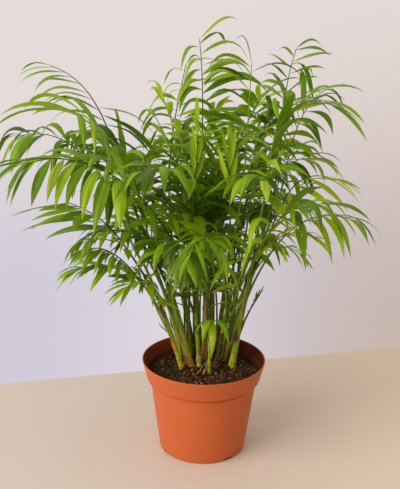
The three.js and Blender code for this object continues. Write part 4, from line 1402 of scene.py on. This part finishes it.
def leavesOf(rib, number):
    # the leaflets of one frond, side by side in turn along its rib
    dress = rib["dress"]
    if "leaves" in dress:
        yield from dress["leaves"]
        return
    slots = max(3, round(rib["pairs"] * dress["crowd"])) * 2
    for index in range(slots):
        seed = leafletSeed(number, index)
        if chance(seed + 0.21) < dress["skip"]:
            continue
        wander = leaflet["jitter"]["place"] * scatter(seed + 0.55)
        place = min(1.0, (index + 0.5 + wander) / slots)
        side = -1 if index % 2 else 1
        if place <= dressed(rib, side, "until"):
            yield {"place": place, "side": side, "turn": 0, "length": 1, "sag": 1, "slim": 1}
    # the last leaflet carries on from the rib's tip
    turn = dress["tipTurn"] - dressed(rib, -1, "endAngle")
    yield {"place": 1, "side": -1, "turn": turn, "length": 0.85, "sag": dress["tipSag"], "slim": 1}


def gridFaces(rows, columns):
    index = np.arange(rows * columns).reshape(rows, columns)
    quads = np.stack([index[:-1, :-1], index[:-1, 1:], index[1:, 1:], index[1:, :-1]], axis=-1)
    return [tuple(int(corner) for corner in quad) for quad in quads.reshape(-1, 4)]


def treeOf(grid):
    points = [tuple(point) for point in grid.reshape(-1, 3)]
    return BVHTree.FromPolygons(points, gridFaces(*grid.shape[:2]))


class Crowd:
    # what has grown so far, to try whether a leaflet would cut through it

    def __init__(self):
        self.trees, self.lows, self.highs, self.owners = [], [], [], []

    def add(self, grid, owner):
        self.trees.append(treeOf(grid))
        self.lows.append(grid.reshape(-1, 3).min(axis=0))
        self.highs.append(grid.reshape(-1, 3).max(axis=0))
        self.owners.append(owner)

    def cuts(self, grid, owner):
        low, high = grid.reshape(-1, 3).min(axis=0), grid.reshape(-1, 3).max(axis=0)
        near = np.all((np.array(self.lows) < high) & (np.array(self.highs) > low), axis=1)
        tree = treeOf(grid)
        return any(self.owners[index] != owner and tree.overlap(self.trees[index])
                   for index in np.flatnonzero(near))


def tubeGrid(centres, radius):
    lefts, ups = ringFrames(centres)
    corners = [lefts, ups, -lefts, -ups, lefts]
    return np.stack([centres + corner * radius for corner in corners], axis=1)


def outerPart(grid):
    # the part of a leaflet that is away from its own rib, with fewer points
    return np.concatenate([grid[1::2, ::2], grid[-1:, ::2]])


def frondToneAndShade(rib, number):
    # the tone paints light and shade as well as the leaves' own colour
    if "toneAndShade" in rib["dress"]:
        return rib["dress"]["toneAndShade"]
    tip = rib["handles"][3]
    outward = math.hypot(tip[0] - crownCentre[0], tip[1] - crownCentre[1]) / toneAndShadeRule["reach"]
    upwards = (tip[2] - toneAndShadeRule["from"]) / toneAndShadeRule["rise"]
    steady = toneAndShadeRule["least"] + toneAndShadeRule["outward"] * outward + toneAndShadeRule["upward"] * upwards
    return steady + toneAndShadeRule["frondWander"] * scatter(number * 2.7)


def leafletTint(toneAndShade, seed):
    if scatter(seed + 0.13) > toneAndShadeRule["olive"]:
        return tintNames.index("olive")
    level = toneAndShade + toneAndShadeRule["leafletWander"] * scatter(seed + 0.9)
    return next((tintNames.index(name) for name, limit in tintLimits.items() if level > limit),
                tintNames.index("shaded"))


def growLeaflets(rib, number, crowd, gathering):
    # returns how many leaflets found room, and how many didn't
    kept = leftOut = 0
    toneAndShade = frondToneAndShade(rib, number)
    for index, leaf in enumerate(leavesOf(rib, number)):
        seed = leafletSeed(number, index)
        for retry in leafletTries:
            grid, uvs = leafletGrid(rib, leaf, retry, seed)
            if not crowd.cuts(outerPart(grid), ("rib", number)):
                break
        else:
            leftOut += 1
            continue
        crowd.add(outerPart(grid), ("leaflet", number, index))
        kept += 1
        gathering.grid(grid[:-1], uvs[:-1], leafletTint(toneAndShade, seed), endTip=grid[-1, 0])
    return np.array([kept, leftOut])


def makeLeaflets():
    stuff = [makeLeafMaterial("leaf" + name.capitalize(), colour)
             for name, colour in leafTints.items()]
    crowd = Crowd()
    for cane in canes:
        crowd.add(tubeGrid(cane["samples"][::6], cane["radii"][0]), "cane")
    for index, rib in enumerate(ribs + youngRibs):
        crowd.add(tubeGrid(rib["samples"][::4], 1.3), ("rib", index))
    outlineCount = len(outlineFronds)
    sets = {"Outline": ribs[:outlineCount], "Fill": ribs[outlineCount:], "Young": youngRibs}
    counts, number = np.zeros(2, int), 0
    for kind, members in sets.items():
        gathering = Gathering()
        for rib in members:
            ringName = rib["name"].rstrip("_0123456789")
            dress = frondDress.get(rib["name"], frondDress.get(ringName, {}))
            rib["dress"] = {**plainFrond, **dress}
            counts += growLeaflets(rib, number, crowd, gathering)
            number += 1
        replaced = [] if kind == "Young" else [rib["name"] for rib in members]
        finishPiece(gathering.build("leaflets" + kind, stuff), "frond", *replaced)
    print("leaflets:", counts[0], "kept,", counts[1], "left out")


makeLeaflets()
print("leaflets made")


# the floor, the backdrop and the lights

room = {
    # the table's span and its left and right colours paint how the light falls across it
    "tableBack": ((-326.5, 169.4), (357.2, 347.7)), "reach": 3200, "tablePaintedLightSpan": (-0.35, 0.45),
    "tableLeftPaintedLight": colourOf(202, 188, 180), "tableRightPaintedLight": colourOf(222, 200, 181),
    "tableRoughness": 0.6,
    # the backdrop's glow behind the pot is painted light, and its browner colour low on the right is
    # painted shade
    "backdropTop": colourOf(230, 219, 217), "backdropLow": colourOf(209, 203, 218),
    "backdropGlow": colourOf(222, 215, 224), "backdropShadeRight": colourOf(199, 182, 173),
    "lowSpan": (-0.12, -0.36), "glowAt": -0.03, "glowReach": 0.17, "glow": 0.9,
    "shadeRightSpan": (-0.04, 0.24), "shadeRightHeights": (0.05, -0.42),
    "fillLeft": 0.84, "fillRight": 0.30, "fillTop": 0.87,
    "fillSpan": (-0.9, 0.9), "topSpan": (0.25, 0.8),
    "fillLeftColour": (1.0, 0.957, 0.90), "fillRightColour": (1.0, 0.94, 0.82),
    "keyPlace": (-1450, -1150, 1350), "keyTarget": (0, 0, 250), "keySize": 1900, "keyPower": 38,
    "keyColour": (1.0, 0.975, 0.95),
}


def makeTable():
    left, right = (np.array(point) for point in room["tableBack"])
    along = unit(right - left)
    front = np.array([along[1], -along[0]])
    reach = room["reach"]
    back = [left - along * reach, right + along * reach]
    corners = back + [back[1] + front * reach, back[0] + front * reach]
    mesh = bpy.data.meshes.new("table")
    mesh.from_pydata([(x * mm, y * mm, 0) for x, y in corners], [], [(3, 2, 1, 0)])
    material, tree, body = newMaterial("tableTop", Roughness=room["tableRoughness"])
    # painted light: the table is cooler and darker on the left, and warmer and lighter on the right, in
    # place of how the light falls
    rightward = ranged(tree, axesOf(tree)["X"], *room["tablePaintedLightSpan"], 0.0, 1.0)
    colour = blendColour(tree, rightward, room["tableLeftPaintedLight"], room["tableRightPaintedLight"])
    mottled = placeGroup(tree, mottleGroup, Colour=colour, Scale=6.0, Amount=0.02)
    send(tree, body.inputs, {"Base Color": mottled["Colour"]})
    mesh.materials.append(material)
    table = putInScene("table", mesh)


def wallColour(tree, x, z):
    # lilac low down, with a painted glow of light behind the pot, and painted shade, browner, low on the
    # right
    lower = ranged(tree, z, *room["lowSpan"], 0.0, 1.0)
    wall = blendColour(tree, lower, room["backdropTop"], room["backdropLow"])
    offGlow = maths(tree, "ABSOLUTE", maths(tree, "SUBTRACT", x, room["glowAt"]))
    glow = ranged(tree, offGlow, 0.0, room["glowReach"], room["glow"], 0.0)
    wall = blendColour(tree, maths(tree, "MULTIPLY", lower, glow), wall, room["backdropGlow"])
    rightward = ranged(tree, x, *room["shadeRightSpan"], 0.0, 1.0)
    shadeRightLow = maths(tree, "MULTIPLY", rightward, ranged(tree, z, *room["shadeRightHeights"], 0.0, 1.0))
    return blendColour(tree, shadeRightLow, wall, room["backdropShadeRight"])


def makeBackdrop():
    # the wall's colour where the camera sees past the table, and a plain soft fill elsewhere
    world = bpy.data.worlds.new("room")
    bpy.context.scene.world = world
    world.use_nodes = True
    tree = world.node_tree
    tree.nodes.clear()
    place = axesOf(tree, "Generated")
    x, z = place["X"], place["Z"]
    seen = addNode(tree, "ShaderNodeBackground", {"Color": wallColour(tree, x, z), "Strength": 1.0})
    sides = ranged(tree, x, *room["fillSpan"], room["fillLeft"], room["fillRight"])
    above = ranged(tree, z, *room["topSpan"], 0.0, 1.0)
    overhead = maths(tree, "MULTIPLY", above, room["fillTop"])
    level = maths(tree, "MULTIPLY", sides, maths(tree, "SUBTRACT", 1.0, above))
    fromRight = ranged(tree, x, *room["fillSpan"], 0.0, 1.0)
    fill = addNode(tree, "ShaderNodeBackground", {
        "Color": blendColour(tree, fromRight, room["fillLeftColour"], room["fillRightColour"]),
        "Strength": maths(tree, "ADD", overhead, level)})
    path = addNode(tree, "ShaderNodeLightPath")
    both = addNode(tree, "ShaderNodeMixShader", {
        0: path.outputs["Is Camera Ray"], 1: fill.outputs[0], 2: seen.outputs[0]})
    addNode(tree, "ShaderNodeOutputWorld", {"Surface": both.outputs[0]})


def makeKeyLight():
    data = bpy.data.lights.new("key", "AREA")
    data.shape, data.size = "DISK", room["keySize"] * mm
    data.energy, data.color = room["keyPower"], room["keyColour"]
    light = putInScene("key", data)
    light.location = Vector(room["keyPlace"]) * mm
    towards = Vector(room["keyTarget"]) - Vector(room["keyPlace"])
    light.rotation_euler = towards.to_track_quat("-Z", "Y").to_euler()


makeTable()
makeBackdrop()
makeKeyLight()
bpy.context.scene.view_settings.view_transform = "Standard"
print("room made")
